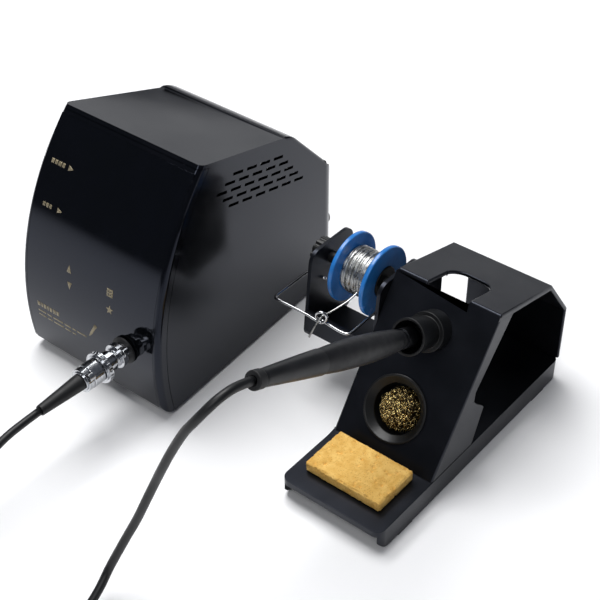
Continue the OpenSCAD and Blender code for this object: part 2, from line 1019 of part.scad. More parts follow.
module stand_top() {
    run = norm([top_back_y - fold_y, fold_z - top_back_z]);
    color(satin_black)
        difference() {
            translate([stand_left, fold_y, fold_z])
                rotate([-top_lean, 0, 0])
                    translate([0, -8, -stand_t])
                        cube([stand_w, run + 8, stand_t]);
            on_plate(-stand_w, -40)
                cube([2 * stand_w, 3 * plate_l, 60]);
            cutout_tool();
            stand_back_blank(eps);
        }
}

// The slanted upper back and the upright back, as one bent plate
module stand_back_blank(grow) {
    slant = atan((top_back_z - back_top_z) / (stand_back_y - top_back_y));
    inner_z = back_top_z - stand_t * tan((90 - slant) / 2);
    along_x(stand_left - grow, stand_w + 2 * grow)
        polygon([
            [stand_back_y, tray_z],
            [stand_back_y, back_top_z],
            [top_back_y, top_back_z],
            [top_back_y - stand_t * sin(slant), top_back_z - stand_t * cos(slant)],
            [stand_back_y - stand_t, inner_z],
            [stand_back_y - stand_t, tray_z]
        ]);
}

module stand_back() {
    color(satin_black)
        stand_back_blank(0);
}

// The left wall carries the spool bracket, and is open towards the back
wall_end_y = fold_y + 46;
module stand_wall() {
    color(satin_black)
        difference() {
            along_x(stand_left, stand_t)
                polygon([
                    [foot_y + 2, tray_z],
                    [wall_end_y, tray_z],
                    [wall_end_y, fold_z],
                    [fold_y, fold_z]
                ]);
            before_plate();
            under_top_plate();
        }
}

module pad(side, y) {
    color(rubber_black)
        translate([stand_x + side * (stand_w - stand_t) / 2 - stand_t / 2, y - 7, 0])
            cube([stand_t, 14, pad_t]);
}
pad_front = stand_front_y + 26;
pad_back = stand_back_y - 24;
module pad_front_left() { pad(-1, pad_front); }
module pad_front_right() { pad(1, pad_front); }
module pad_back_left() { pad(-1, pad_back); }
module pad_back_right() { pad(1, pad_back); }

// The funnel that takes the iron, with a collar that seats flush on the sloping plate
module holder() {
    color(rubber_black)
        difference() {
            union() {
                on_iron(holder_start)
                    cylinder(r1 = funnel_mouth_r, r2 = funnel_tube_r, h = holder_taper);
                on_iron(holder_start + holder_taper)
                    cylinder(r = funnel_tube_r, h = holder_end - holder_start - holder_taper);
                difference() {
                    on_iron(holder_start + holder_taper)
                        cylinder(r = funnel_tube_r + 2.6, h = 30);
                    on_plate(-stand_w / 2, 0)
                        translate([0, 0, -60])
                            cube([stand_w, plate_l, 60]);
                }
            }
            on_iron(holder_start - 0.01)
                cylinder(r1 = funnel_mouth_r - funnel_t, r2 = funnel_tube_r - funnel_t, h = holder_taper);
            on_iron(holder_start + holder_taper - eps)
                cylinder(r = funnel_tube_r - funnel_t, h = 80);
        }
}

module holder_nut() {
    color(rubber_black)
        difference() {
            on_iron(holder_plate_at - 10)
                cylinder(r = funnel_tube_r + 3.4, h = 22);
            on_iron(holder_plate_at - 30)
                cylinder(r = funnel_tube_r, h = 80);
            on_plate(-stand_w / 2, 0)
                translate([0, 0, -stand_t])
                    cube([stand_w, plate_l, 60]);
            on_plate(-stand_w / 2, 0)
                translate([0, 0, -60 - stand_t - 4])
                    cube([stand_w, plate_l, 60]);
        }
}

// The wool cup: a rim on the plate, a funnel mouth and a closed bottom
module wool_cup() {
    color(rubber_black)
        on_plate(wool_side, wool_up)
            rotate_extrude()
                polygon([
                    [0, -cup_depth],
                    [wool_r + 1.6, -cup_depth],
                    [wool_r + 1.6, -stand_t - 0.2],
                    [cup_seat_r, -stand_t],
                    [cup_seat_r, 0],
                    [wool_rim_r, 0],
                    [wool_rim_r, 1.2],
                    [wool_rim_r - 1.2, 1.4],
                    [wool_r, -2.4],
                    [wool_r, -cup_depth + 1.6],
                    [0, -cup_depth + 1.6]
                ]);
}

module brass_wool() {
    color(wool_gold)
        on_plate(wool_side, wool_up)
            rotate_extrude()
                intersection() {
                    translate([0, -cup_depth + 1.6 + loose_gap])
                        square([wool_r - loose_gap, cup_depth + 4]);
                    translate([0, -11])
                        circle(r = wool_r + 0.6);
                }
}

sponge_y = stand_front_y + 13;
module sponge() {
    color(sponge_yellow)
        translate([stand_x - 1, sponge_y + sponge_d / 2, tray_z])
            linear_extrude(height = sponge_t)
                rounded_rect(sponge_w, sponge_d, 2);
}

// ---- Spool holder --------------------------------------------------------------------

spool_y = stand_front_y + 113;
spool_right = stand_left - 10.6;
spool_left = spool_right - spool_w;
ear_x = spool_left - 14.4 - bracket_t;
bushing_r = spool_bore_r - running_gap;
bracket_low = 36;
bracket_front = spool_y - 25;
bracket_back = spool_y + 22;
ear_top = spool_z + 12;
lip_low = bracket_low + 6;
lip_h = 16;

// The guide's wire turns in a hole in each ear
pivot_y = spool_y - 8;
pivot_z = spool_z - 12;
module along_spindle(x) {
    translate([x, spool_y, spool_z])
        rotate([0, 90, 0])
            children();
}

module bracket_ear() {
    rounded_polygon(
        [[bracket_front, bracket_low], [bracket_back, bracket_low], [bracket_back, ear_top], [bracket_front + 6, ear_top]],
        [7, 7, 8, 8]);
}

// A U of sheet steel: an ear on the left, an ear on the stand's wall, and a floor between them
module spool_bracket() {
    span = stand_left - ear_x - bracket_t;
    color(satin_black)
        difference() {
            union() {
                along_x(ear_x, bracket_t)
                    bracket_ear();
                along_x(stand_left - bracket_t, bracket_t)
                    bracket_ear();
                translate([ear_x + bracket_t / 2, bracket_front + 7, bracket_low])
                    cube([span, bracket_back - bracket_front - 14, bracket_t]);
                translate([ear_x + bracket_t / 2, bracket_front + 1, lip_low])
                    cube([span, bracket_t, lip_h]);
            }
            along_spindle(ear_x - eps)
                cylinder(r = spindle_r, h = stand_left - ear_x + 2 * eps);
            translate([ear_x - eps, pivot_y, pivot_z])
                rotate([0, 90, 0])
                    cylinder(r = guide_wire_r + running_gap, h = stand_left - ear_x + 2 * eps);
        }
}

knob_l = 6.6;
knob_r = 10;
knob_gap = 0.4;
module spool_shaft() {
    color(satin_black) {
        along_spindle(ear_x - knob_l + 2)
            cylinder(r = spindle_r, h = stand_left - ear_x + knob_l - 2);
        along_spindle(spool_left - 0.6)
            cylinder(r = bushing_r, h = spool_w + 1.2);
    }
}

module shaft_knob() {
    color(rubber_black)
        along_spindle(ear_x - knob_l - knob_gap)
            difference() {
                cylinder(r = knob_r, h = knob_l);
                translate([0, 0, 2])
                    cylinder(r = spindle_r + running_gap, h = knob_l);
                for (i = [0:11])
                    rotate([0, 0, 30 * i])
                        translate([knob_r + 0.6, 0, -eps])
                            cylinder(r = 1.6, h = knob_l + 2 * eps);
            }
}

module spool() {
    color(spool_blue)
        along_spindle(spool_left)
            difference() {
                union() {
                    cylinder(r = spool_r, h = flange_t);
                    translate([0, 0, spool_w - flange_t])
                        cylinder(r = spool_r, h = flange_t);
                    cylinder(r = spool_bore_r + spool_hub_t, h = spool_w);
                }
                translate([0, 0, -eps])
                    cylinder(r = spool_bore_r, h = spool_w + 2 * eps);
            }
}
spool_hub_t = 1.6;

module winding() {
    color(solder_silver)
        along_spindle(spool_left + flange_t)
            tube(winding_r, spool_bore_r + spool_hub_t, spool_w - 2 * flange_t);
}

// The guide: a wire bail in front of the bracket, with an eye for the solder
guide_left = ear_x - 9;
guide_right = stand_left - 6;
guide_y = spool_y - 42.5;
eye_r = 3.6;
eye_x = guide_left + 37;
eye_turn = 25;
module wire(a, b, r) {
    run = b - a;
    translate(a)
        rotate([0, acos(run[2] / norm(run)), atan2(run[1], run[0])])
            cylinder(r = r, h = norm(run));
}

module guide_bail() {
    corner_1 = [guide_left, guide_y, pivot_z];
    corner_2 = [guide_right, guide_y, pivot_z];
    hinge_1 = [guide_left, pivot_y, pivot_z];
    hinge_2 = [guide_right, pivot_y, pivot_z];
    color(chrome) {
        wire(corner_1, corner_2, guide_wire_r);
        wire(corner_1, hinge_1, guide_wire_r);
        wire(corner_2, hinge_2, guide_wire_r);
        wire(hinge_1, [ear_x + bracket_t + 2, pivot_y, pivot_z], guide_wire_r);
        wire(hinge_2, [stand_left - 0.3, pivot_y, pivot_z], guide_wire_r);
        for (corner = [corner_1, corner_2, hinge_1, hinge_2])
            translate(corner)
                sphere(r = guide_wire_r + knuckle);
        translate([eye_x, guide_y, pivot_z + eye_r])
            rotate([90, 0, eye_turn])
                rotate_extrude()
                    translate([eye_r, 0])
                        circle(r = guide_wire_r);
    }
}

// The loose end of the solder, from the winding through the guide's eye
strand_r = 0.6;
knuckle = 0.05;
strand_start = [spool_right - flange_t - 5, spool_y - winding_r - strand_r - loose_gap, spool_z - 2];
strand_eye = [eye_x, guide_y, pivot_z + eye_r];
strand_end = strand_eye + [-3, -8, -12];
module solder_strand() {
    color(solder_silver) {
        wire(strand_start, strand_eye, strand_r);
        translate(strand_eye)
            sphere(r = strand_r + knuckle);
        wire(strand_eye, strand_end, strand_r);
    }
}

// ---- Iron ----------------------------------------------------------------------------

module handle() {
    color(satin_black)
        on_iron(0)
            difference() {
                rotate_extrude()
                    polygon([
                        [0, -handle_l + tail_d],
                        [tail_r, -handle_l + tail_d],
                        [seam_r - 0.4, -grip_l - 12],
                        [seam_r, -grip_l],
                        [grip_nose_r - 2.2, -grip_l],
                        [grip_nose_r - 2.2, -0.5],
                        [0, -0.5]
                    ]);
                translate([0, 0, -handle_l - eps])
                    cylinder(r = cord_r, h = 30);
            }
}

// The soft grip swells a little, and its end is rounded over the nose
module grip() {
    color("#1a1b1e")
        on_iron(0)
            rotate_extrude()
                difference() {
                    union() {
                        intersection() {
                            translate([grip_r - 400, -grip_l / 2 - 4])
                                circle(r = 400, $fn = 360);
                            translate([0, -grip_l])
                                square([2 * grip_r, grip_l - 8]);
                        }
                        intersection() {
                            translate([0, -8.2])
                                square([2 * grip_r, 8.2]);
                            translate([0, -8.2])
                                circle(r = grip_nose_r);
                        }
                    }
                    translate([-50, -grip_l - eps])
                        square([50 + grip_nose_r - 2.2, grip_l + 10]);
                }
}

module tail_boot() {
    color(rubber_black)
        on_iron(-handle_l)
            tube(tail_collar_r, cord_r, tail_d);
}

module barrel_nut() {
    color(steel)
        on_iron(-0.5)
            difference() {
                union() {
                    cylinder(r = grip_nose_r - 2.2, h = 2);
                    translate([0, 0, 2])
                        cylinder(r = nut_r, h = 11);
                    translate([0, 0, 13])
                        cylinder(r1 = nut_r, r2 = barrel_r + 0.4, h = 2);
                }
                translate([0, 0, 1])
                    cylinder(r = barrel_r, h = 30);
            }
}

module barrel() {
    color(steel)
        on_iron(0.5)
            difference() {
                cylinder(r = barrel_r, h = barrel_l);
                translate([0, 0, barrel_l - 20])
                    cylinder(r = tip_r, h = 40);
            }
}

module tip() {
    color("#8d8f94")
        on_iron(barrel_l - 19.5) {
            cylinder(r = tip_r, h = 20 + tip_l * 0.45);
            translate([0, 0, 20 + tip_l * 0.45])
                cylinder(r1 = tip_r, r2 = 0.4, h = tip_l * 0.55);
        }
}

// ---- Cord ----------------------------------------------------------------------------

// The route's points between the iron, the coil and the plug, laid by hand
tail_point = nose + [0, -cos(iron_lean), sin(iron_lean)] * handle_l;
iron_route = [
    [108, -144, 161], [107, -155, 161], [102, -161, 154], [94, -164, 140], [86, -165, 124],
    [79, -166, 108], [72, -166, 92], [66, -168, 76], [60, -170, 60], [54, -173, 45],
    [49, -177, 31], [46, -182, 20], [47, -191, 13], [47, -201, 7], [45, -212, 4],
    [39, -224, 2.8], [30, -235, 2.6], [21, -246, 2.6], [14, -257, 2.6], [12.5, -267, 2.6]
];
plug_point = [unit_x + plug_x, socket_face - boot_end, plug_z];
plug_route = [
    [-52, -150, 46.5], [-52, -163, 45.5], [-52, -176, 42], [-52, -189, 36], [-52, -202, 27.5],
    [-52, -215, 18.5], [-52, -228, 12], [-52, -242, 8.6], [-52.5, -255, 7.7], [-52.5, -267, 7.7]
];

// Two layers of two turns each
coil_centre = [-20, -267];
coil_r = 30;
coil_turns_across = 2;
coil_layers = 2;

// A smooth curve through hand-laid points, by Catmull and Rom's rule
function bend(a, b, c, d, t) =
    0.5 * (2 * b + (c - a) * t + (2 * a - 5 * b + 4 * c - d) * t * t + (3 * b - a - 3 * c + d) * t * t * t);
function smooth(pts, steps) = [
    for (i = [0:len(pts) - 2])
        for (s = [0:steps - 1])
            bend(pts[max(i - 1, 0)], pts[i], pts[i + 1], pts[min(i + 2, len(pts) - 1)], s / steps),
    pts[len(pts) - 1]
];
function heading(pts, i) = unit(pts[min(i + 1, len(pts) - 1)] - pts[max(i - 1, 0)]);

// Each ring's first spoke is carried on from the ring before, so the tube doesn't twist
function spokes(pts, i, last) =
    let (h = heading(pts, i), s = unit(last - h * (last * h)))
    i == len(pts) - 1 ? [s] : concat([s], spokes(pts, i + 1, s));

module swept_tube(pts, r, sides) {
    first = abs(heading(pts, 0)[2]) > 0.9 ? [1, 0, 0] : [0, 0, 1];
    spoke = spokes(pts, 0, first);
    rings = [
        for (i = [0:len(pts) - 1])
            let (h = heading(pts, i), other = cross(h, spoke[i]))
            for (k = [0:sides - 1])
                pts[i] + r * (spoke[i] * cos(360 * k / sides) + other * sin(360 * k / sides))
    ];
    last = (len(pts) - 1) * sides;
    walls = [
        for (i = [0:len(pts) - 2])
            for (k = [0:sides - 1])
                [i * sides + k, i * sides + (k + 1) % sides,
                 (i + 1) * sides + (k + 1) % sides, (i + 1) * sides + k]
    ];
    ends = [[for (k = [sides - 1:-1:0]) k], [for (k = [0:sides - 1]) last + k]];
    polyhedron(points = rings, faces = concat([for (f = walls) [f[3], f[2], f[1], f[0]]],
        [for (e = ends) [for (k = [len(e) - 1:-1:0]) e[k]]]));
}

module cord_to_plug() {
    color(rubber_black)
        swept_tube(smooth(concat([plug_point], plug_route), 1), cord_r, 10);
}

module cord_coil() {
    color(rubber_black)
        translate([coil_centre[0], coil_centre[1], coil_layers * cord_r + 0.1])
            rotate_extrude()
                translate([coil_r, 0])
                    rounded_rect(coil_turns_across * 2 * cord_r, coil_layers * 2 * cord_r, cord_r);
}

module cord_to_iron() {
    color(rubber_black)
        swept_tube(smooth(concat([tail_point], iron_route), 2), cord_r, 10);
}

// ---- Parts ---------------------------------------------------------------------------

housing();
bezel();
overlay();
base_plate();
foot_front_left();
foot_front_right();
foot_back_left();
foot_back_right();
display_upper();
display_lower();
panel_board();
main_board();
heat_sink();
transformer_core();
transformer_winding();
inlet();
inlet_pins();
switch_frame();
rocker();
fuse_holder();
fuse_cap();
socket_flange();
socket_shell();
socket_nut();
socket_clamp();
coupling_nut();
plug_shell();
plug_clamp();
plug_boot();
stand_base();
stand_plate();
stand_web();
stand_top();
stand_back();
stand_wall();
pad_front_left();
pad_front_right();
pad_back_left();
pad_back_right();
holder();
holder_nut();
wool_cup();
brass_wool();
sponge();
spool_bracket();
spool_shaft();
shaft_knob();
spool();
winding();
solder_strand();
guide_bail();
handle();
grip();
tail_boot();
barrel_nut();
barrel();
tip();
cord_to_plug();
cord_coil();
cord_to_iron();
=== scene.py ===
"""Looks of the soldering iron station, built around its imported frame.

The station is a control unit with a bowed touch front, an iron on its cord, and a moulded stand
with a sponge, a brass-wool tip cleaner and a solder spool. Lengths are in metres, +X is to the
right of the front, +Y to the back and +Z up. Sizes given in millimetres are turned by MM.
"""

from __future__ import annotations

import logging
import math
from dataclasses import dataclass, field
from enum import Enum
from typing import Any

import bmesh
import bpy
import numpy as np
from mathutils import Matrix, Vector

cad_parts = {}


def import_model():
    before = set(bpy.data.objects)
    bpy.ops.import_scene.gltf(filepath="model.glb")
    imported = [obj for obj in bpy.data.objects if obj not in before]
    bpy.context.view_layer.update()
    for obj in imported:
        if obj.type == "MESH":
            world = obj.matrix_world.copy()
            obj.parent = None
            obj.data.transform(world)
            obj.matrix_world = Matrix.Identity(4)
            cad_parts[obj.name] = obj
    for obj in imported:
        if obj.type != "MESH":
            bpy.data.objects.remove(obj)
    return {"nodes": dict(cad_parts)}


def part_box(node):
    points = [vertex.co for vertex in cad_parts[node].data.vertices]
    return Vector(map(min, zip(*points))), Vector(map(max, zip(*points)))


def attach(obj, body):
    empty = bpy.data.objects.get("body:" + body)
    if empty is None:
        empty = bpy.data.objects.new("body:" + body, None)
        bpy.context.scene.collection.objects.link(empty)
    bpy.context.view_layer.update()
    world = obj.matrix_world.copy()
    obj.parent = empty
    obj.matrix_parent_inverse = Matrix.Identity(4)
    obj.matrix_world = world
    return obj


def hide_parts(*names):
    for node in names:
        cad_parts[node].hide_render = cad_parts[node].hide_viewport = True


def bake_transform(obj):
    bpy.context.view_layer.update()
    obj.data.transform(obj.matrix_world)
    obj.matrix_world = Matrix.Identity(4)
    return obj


MM = 0.001
LOG = logging.getLogger("station")
UP = (0.0, 0.0, 1.0)
Surface = tuple[np.ndarray, list[np.ndarray]]

# How many times finer the marks of turning are along Y than across it
TURNING_STRETCH = 6.0
# The middle of a noise's values, over which one shade passes into the other
SHADE_BAND = (0.34, 0.66)
# The same for the drift of gloss
GLOSS_BAND = (0.3, 0.7)
# How far from its middle a cell's hollow reaches, as a part of its size,
# and how dark its painted shade gets
HOLLOW_REACH = 0.32
HOLLOW_SHADE = 0.8
BUMP_STRENGTH = 0.6

# Corners of a node within this many metres are one, and faces within this angle are one flat
NODE_MERGE = 2e-6
NODE_FLAT = math.radians(0.3)
# The same for a shell united from several nodes, whose seams are a little less even
SHELL_MERGE = 2e-5
SHELL_FLAT = math.radians(0.5)
# Faces that meet at less than this angle are shaded as one curve
SMOOTH_UNDER = math.radians(26)
# Edges sharper than this are rounded
SOFTEN_OVER = math.radians(32)


class Body(str, Enum):
    """The bodies of the frame that pieces ride on."""

    BASE = "base"
    IRON = "iron"
    SPOOL = "spool"
    KNOB = "knob"
    GUIDE = "guide"
    NUT = "nut"
    ROCKER = "rocker"
    CAP = "cap"
    SPONGE = "sponge"
    WOOL = "wool"


class Pattern(Enum):
    """How a surface was made, which decides its nodes."""

    MOULDED = "moulded"
    TURNED = "turned"
    CELLULAR = "cellular"


@dataclass(frozen=True)
class Finish:
    """One material: what it is, how its surface was made, and what that gives the eye.

    The grain is the fine relief that lies over the whole surface, and the patch is the slow drift
    of colour and gloss across it. Both are sizes in millimetres.
    """

    name: str
    colour: str
    shade: str
    roughness: float
    spread: float = 0.05
    metallic: float = 0.0
    ior: float = 1.5
    grain: float = 0.5
    relief: float = 0.01
    patch: float = 18.0
    tint: str = "ffffff"
    # Colour of the painted shade in a foam's hollows
    depth: str = "9a6a28"
    pattern: Pattern = Pattern.MOULDED

    def material(self) -> bpy.types.Material:
        """Makes the material's nodes once, and returns the same material after that.

        Colour is a mix of two shades by slow noise. Roughness is a middle value plus or minus the
        spread, by the same noise. Relief is a bump whose height follows the grain, which is fine
        noise, or the cells of a foam. A foam's hollows are darkened with painted shade.

        Returns:
            The material.
        """
        found = bpy.data.materials.get(self.name)
        if found is not None:
            return found
        material = bpy.data.materials.new(self.name)
        material.use_nodes = True
        tree = material.node_tree
        tree.nodes.clear()
        place = add_node(tree, "ShaderNodeTexCoord").outputs["Object"]
        finer = TURNING_STRETCH if self.pattern is Pattern.TURNED else 1.0
        place = add_node(
            tree, "ShaderNodeMapping", {"Vector": place, "Scale": (1.0, finer, 1.0)}
        ).outputs["Vector"]
        slow = add_node(
            tree,
            "ShaderNodeTexNoise",
            {"Vector": place, "Scale": 1 / (self.patch * MM), "Detail": 4.0, "Roughness": 0.6},
        ).outputs["Fac"]
        fine = add_node(
            tree,
            "ShaderNodeTexNoise",
            {"Vector": place, "Scale": 1 / (self.grain * MM), "Detail": 3.0},
        ).outputs["Fac"]
        if self.pattern is Pattern.CELLULAR:
            fine = add_node(
                tree,
                "ShaderNodeTexVoronoi",
                {"Vector": place, "Scale": 1 / (self.grain * MM), "Randomness": 1.0},
            ).outputs["Distance"]
        drift = add_node(
            tree,
            "ShaderNodeMapRange",
            {"Value": slow, "From Min": SHADE_BAND[0], "From Max": SHADE_BAND[1]},
        ).outputs["Result"]
        colour = add_node(
            tree,
            "ShaderNodeMix",
            {"Factor": drift, 6: linear(self.shade), 7: linear(self.colour)},
            data_type="RGBA",
        ).outputs[2]
        # A foam's hollows get painted shade, a darker colour mixed in near each cell's point
        if self.pattern is Pattern.CELLULAR:
            hollow_shade = add_node(
                tree,
                "ShaderNodeMapRange",
                {"Value": fine, "From Max": HOLLOW_REACH, "To Min": HOLLOW_SHADE, "To Max": 0.0},
            ).outputs["Result"]
            colour = add_node(
                tree,
                "ShaderNodeMix",
                {"Factor": hollow_shade, 6: colour, 7: linear(self.depth)},
                data_type="RGBA",
            ).outputs[2]
        gloss = add_node(
            tree,
            "ShaderNodeMapRange",
            {
                "Value": slow,
                "From Min": GLOSS_BAND[0],
                "From Max": GLOSS_BAND[1],
                "To Min": max(self.roughness - self.spread, 0.0),
                "To Max": self.roughness + self.spread,
            },
        ).outputs["Result"]
        bump = add_node(
            tree,
            "ShaderNodeBump",
            {"Height": fine, "Strength": BUMP_STRENGTH, "Distance": self.relief * MM},
        ).outputs["Normal"]
        shader = add_node(
            tree,
            "ShaderNodeBsdfPrincipled",
            {
                "Base Color": colour,
                "Roughness": gloss,
                "Metallic": self.metallic,
                "IOR": self.ior,
                "Specular Tint": linear(self.tint),
                "Normal": bump,
            },
        ).outputs["BSDF"]
        add_node(tree, "ShaderNodeOutputMaterial", {"Surface": shader})
        return material


def add_node(
    tree: bpy.types.NodeTree, kind: str, links: dict[Any, Any] | None = None, **settings: Any
) -> bpy.types.Node:
    """Adds a node to a tree.

    Args:
        tree: The material's or the world's node tree.
        kind: The node's type name.
        links: What each input takes, either another node's output or a plain value.
        **settings: The node's own properties.

    Returns:
        The new node.
    """
    node = tree.nodes.new(kind)
    for name, value in settings.items():
        setattr(node, name, value)
    for socket, value in (links or {}).items():
        if isinstance(value, bpy.types.NodeSocket):
            tree.links.new(value, node.inputs[socket])
        else:
            node.inputs[socket].default_value = value
    return node


def linear(text: str) -> tuple[float, float, float, float]:
    """Turns an sRGB hex colour to linear light.

    Each channel c is c / 12.92 up to 0.04045, and ((c + 0.055) / 1.055) to the power 2.4 above.

    Args:
        text: Six hex digits.

    Returns:
        Red, green, blue and full alpha.
    """
    channels = np.array([int(text[i : i + 2], 16) / 255 for i in (0, 2, 4)])
    light = np.where(channels <= 0.04045, channels / 12.92, ((channels + 0.055) / 1.055) ** 2.4)
    return (float(light[0]), float(light[1]), float(light[2]), 1.0)


# Injection-moulded ABS from a polished tool: deep black, near mirror gloss, a faint orange peel
GLOSS_SHELL = Finish(
    "gloss_black_abs", "08090c", "050608", 0.15, 0.04, ior=1.42,
    grain=3.0, relief=0.012, patch=40, tint="c3cdea",
)
# Cast acrylic sheet over the touch keys: smoother and blacker than the shell
OVERLAY = Finish(
    "black_acrylic_overlay", "050609", "040506", 0.07, 0.02, ior=1.45,
    grain=6.0, relief=0.004, tint="c3cdea",
)
# ABS from a spark-eroded tool: dark, with a fine even grain that spreads the highlight
SATIN_SHELL = Finish(
    "satin_black_abs", "0c0d10", "08090b", 0.33, 0.05, ior=1.45,
    grain=0.6, relief=0.02, patch=25, tint="c9d1e8",
)
# Inner parts and frames of plain black ABS
PLAIN_ABS = Finish(
    "plain_black_abs", "0c0d0f", "08090a", 0.42, 0.05, ior=1.42,
    grain=0.8, relief=0.01,
)
# Soft black rubber, for feet, boots and collars: dull, with a dusty drift
RUBBER = Finish(
    "black_rubber", "0e0f12", "090a0c", 0.55, 0.08, ior=1.45,
    grain=0.5, relief=0.015, patch=9,
)
# Soft PVC jacket, extruded: a broad dull shine along its length
CORD_JACKET = Finish(
    "pvc_cord_jacket", "0f1013", "0a0b0d", 0.46, 0.06, ior=1.45,
    grain=0.7, relief=0.01, patch=12,
)
# Silicone sleeve of the iron: matt, a little grey, with soft lumps from its moulding
GRIP_SLEEVE = Finish(
    "silicone_sleeve", "101115", "0a0b0e", 0.48, 0.08, ior=1.41,
    grain=0.9, relief=0.03, patch=7,
)
# Heat-proof nylon of the handle
HANDLE_NYLON = Finish(
    "black_nylon", "0f1014", "0a0b0e", 0.42, 0.06, ior=1.45,
    grain=0.6, relief=0.015, patch=10,
)
# Nickel-chrome plating on brass: bright, with fine turning marks and slight stains
CHROME = Finish(
    "nickel_chrome_plate", "d3d5d8", "a9abaf", 0.14, 0.06, 1.0,
    grain=0.5, relief=0.004, patch=5, pattern=Pattern.TURNED,
)
# Drawn spring wire, plated
WIRE_STEEL = Finish(
    "plated_spring_wire", "c9cacc", "98999c", 0.2, 0.07, 1.0,
    grain=0.4, relief=0.004, patch=4, pattern=Pattern.TURNED,
)
# Stainless tube of the iron, turned
BARREL_STEEL = Finish(
    "stainless_steel", "b9bbbf", "8d8f93", 0.28, 0.07, 1.0,
    grain=0.5, relief=0.006, patch=8, pattern=Pattern.TURNED,
)
# Burnished steel of the nut at the handle's nose: nearly black, with a dull sheen
BURNISHED_NUT = Finish(
    "burnished_steel", "2b2c2f", "1c1d20", 0.4, 0.06, 1.0,
    grain=0.5, relief=0.006, patch=5,
)
# Iron-plated copper tip, browned by heat
TIP_PLATE = Finish(
    "iron_plated_tip", "8d8b86", "5b5048", 0.38, 0.08, 1.0,
    grain=0.6, relief=0.01, patch=5,
)
# Tin and lead solder wire: soft grey metal, slightly oxidised
SOLDER = Finish("tin_solder", "d0d0cd", "9b9b99", 0.3, 0.08, 1.0, grain=0.5, relief=0.006, patch=3)
# Brass shavings: bright where they turn to the light, with painted shade of the folds
# as dark brown patches of slow noise
BRASS_SHAVINGS = Finish(
    "brass_shavings", "f2dc9a", "4e3410", 0.16, 0.08, 1.0,
    grain=0.6, relief=0.01, patch=2.5,
)
# The tangled middle of the wool, where little light reaches: brass darkened with painted shade
BRASS_CORE = Finish(
    "brass_core_painted_shade", "3a2a10", "140e06", 0.5, 0.1, 0.8,
    grain=0.8, relief=0.15, patch=2,
)
# Cellulose sponge, cut from a block: open cells, with painted shade in its hollows
CELLULOSE = Finish(
    "cellulose_sponge", "e6bd6b", "cf9f4a", 0.93, 0.04,
    grain=1.3, relief=0.3, patch=6, pattern=Pattern.CELLULAR,
)
# Blue polystyrene of the spool, moulded: clean colour with a soft gloss
BLUE_STYRENE = Finish("blue_polystyrene", "2c7ccc", "2169ae", 0.24, 0.05, grain=1.5, relief=0.008)
# Pale gold screen ink on the overlay
GOLD_INK = Finish(
    "pale_gold_ink", "8d8268", "6f6650", 0.42, 0.06, 0.35,
    grain=0.4, relief=0.004, patch=3,
)
# Translucent red acrylic of the switch rocker
RED_ACRYLIC = Finish(
    "red_acrylic", "b3201c", "8c1512", 0.2, 0.04, ior=1.49,
    grain=2.0, relief=0.006,
)
# Glass-fibre board under green solder mask
BOARD = Finish(
    "green_circuit_board", "1f5a3a", "17482e", 0.35, 0.05,
    grain=0.7, relief=0.02, patch=6,
)
# Extruded aluminium of the heat sink
ALUMINIUM = Finish(
    "extruded_aluminium", "b8babd", "9c9ea2", 0.35, 0.06, 1.0,
    grain=0.6, relief=0.01,
)
# Laminated transformer steel, varnished
CORE_STEEL = Finish("laminated_steel", "7b7c7f", "5d5e61", 0.45, 0.08, 1.0, grain=0.5, relief=0.03)
# Enamelled copper wire, wound close
ENAMELLED_COPPER = Finish(
    "enamelled_copper", "b5722e", "8e5420", 0.3, 0.06, 0.9,
    grain=0.5, relief=0.05,
)
# Smoked filter over the digits, dark while the unit is off
SMOKED_FILTER = Finish(
    "smoked_red_filter", "2a1214", "1b0b0c", 0.12, 0.03, ior=1.49,
    grain=2.0, relief=0.004,
)
# Matt painted studio floor
FLOOR_PAINT = Finish(
    "matt_floor_paint", "f6f6f7", "f3f3f4", 0.85, 0.05,
    grain=2.0, relief=0.01, patch=300,
)


# ---- Surfaces ------------------------------------------------------------------------------


def quads(rows: int, columns: int, wrap: bool) -> np.ndarray:
    """Faces of a grid whose vertices are counted row by row.

    Face (i, j) joins vertices (i, j), (i, j + 1), (i + 1, j + 1) and (i + 1, j).

    Args:
        rows: Number of rows of vertices.
        columns: Number of vertices in a row.
        wrap: Whether the last column joins the first.

    Returns:
        An array of four vertex numbers for each face.
    """
    across = columns if wrap else columns - 1
    i, j = np.meshgrid(np.arange(rows - 1), np.arange(across), indexing="ij")
    k = (j + 1) % columns
    corners = [i * columns + j, i * columns + k, (i + 1) * columns + k, (i + 1) * columns + j]
    return np.stack(corners, axis=-1).reshape(-1, 4)


def smooth_path(points: np.ndarray, steps: int) -> np.ndarray:
    """A smooth curve through points, by Catmull and Rom's rule.

    Between b and c, with a before and d after, the point at t is half of
    2b + (c - a)t + (2a - 5b + 4c - d)t^2 + (3b - a - 3c + d)t^3.

    Args:
        points: The points, one in each row.
        steps: Steps between two points.

    Returns:
        The curve's points.
    """
    ends = np.vstack([2 * points[0] - points[1], points, 2 * points[-1] - points[-2]])
    a, b, c, d = ends[:-3, None], ends[1:-2, None], ends[2:-1, None], ends[3:, None]
    t = (np.arange(steps) / steps)[None, :, None]
    bend, twist = 2 * a - 5 * b + 4 * c - d, 3 * b - a - 3 * c + d
    curve = 0.5 * (2 * b + (c - a) * t + bend * t**2 + twist * t**3)
    return np.vstack([curve.reshape(-1, 3), points[-1:]])


def unit_rows(rows: np.ndarray) -> np.ndarray:
    """Each vector along the last axis, divided by its length."""
    return rows / np.linalg.norm(rows, axis=-1, keepdims=True)


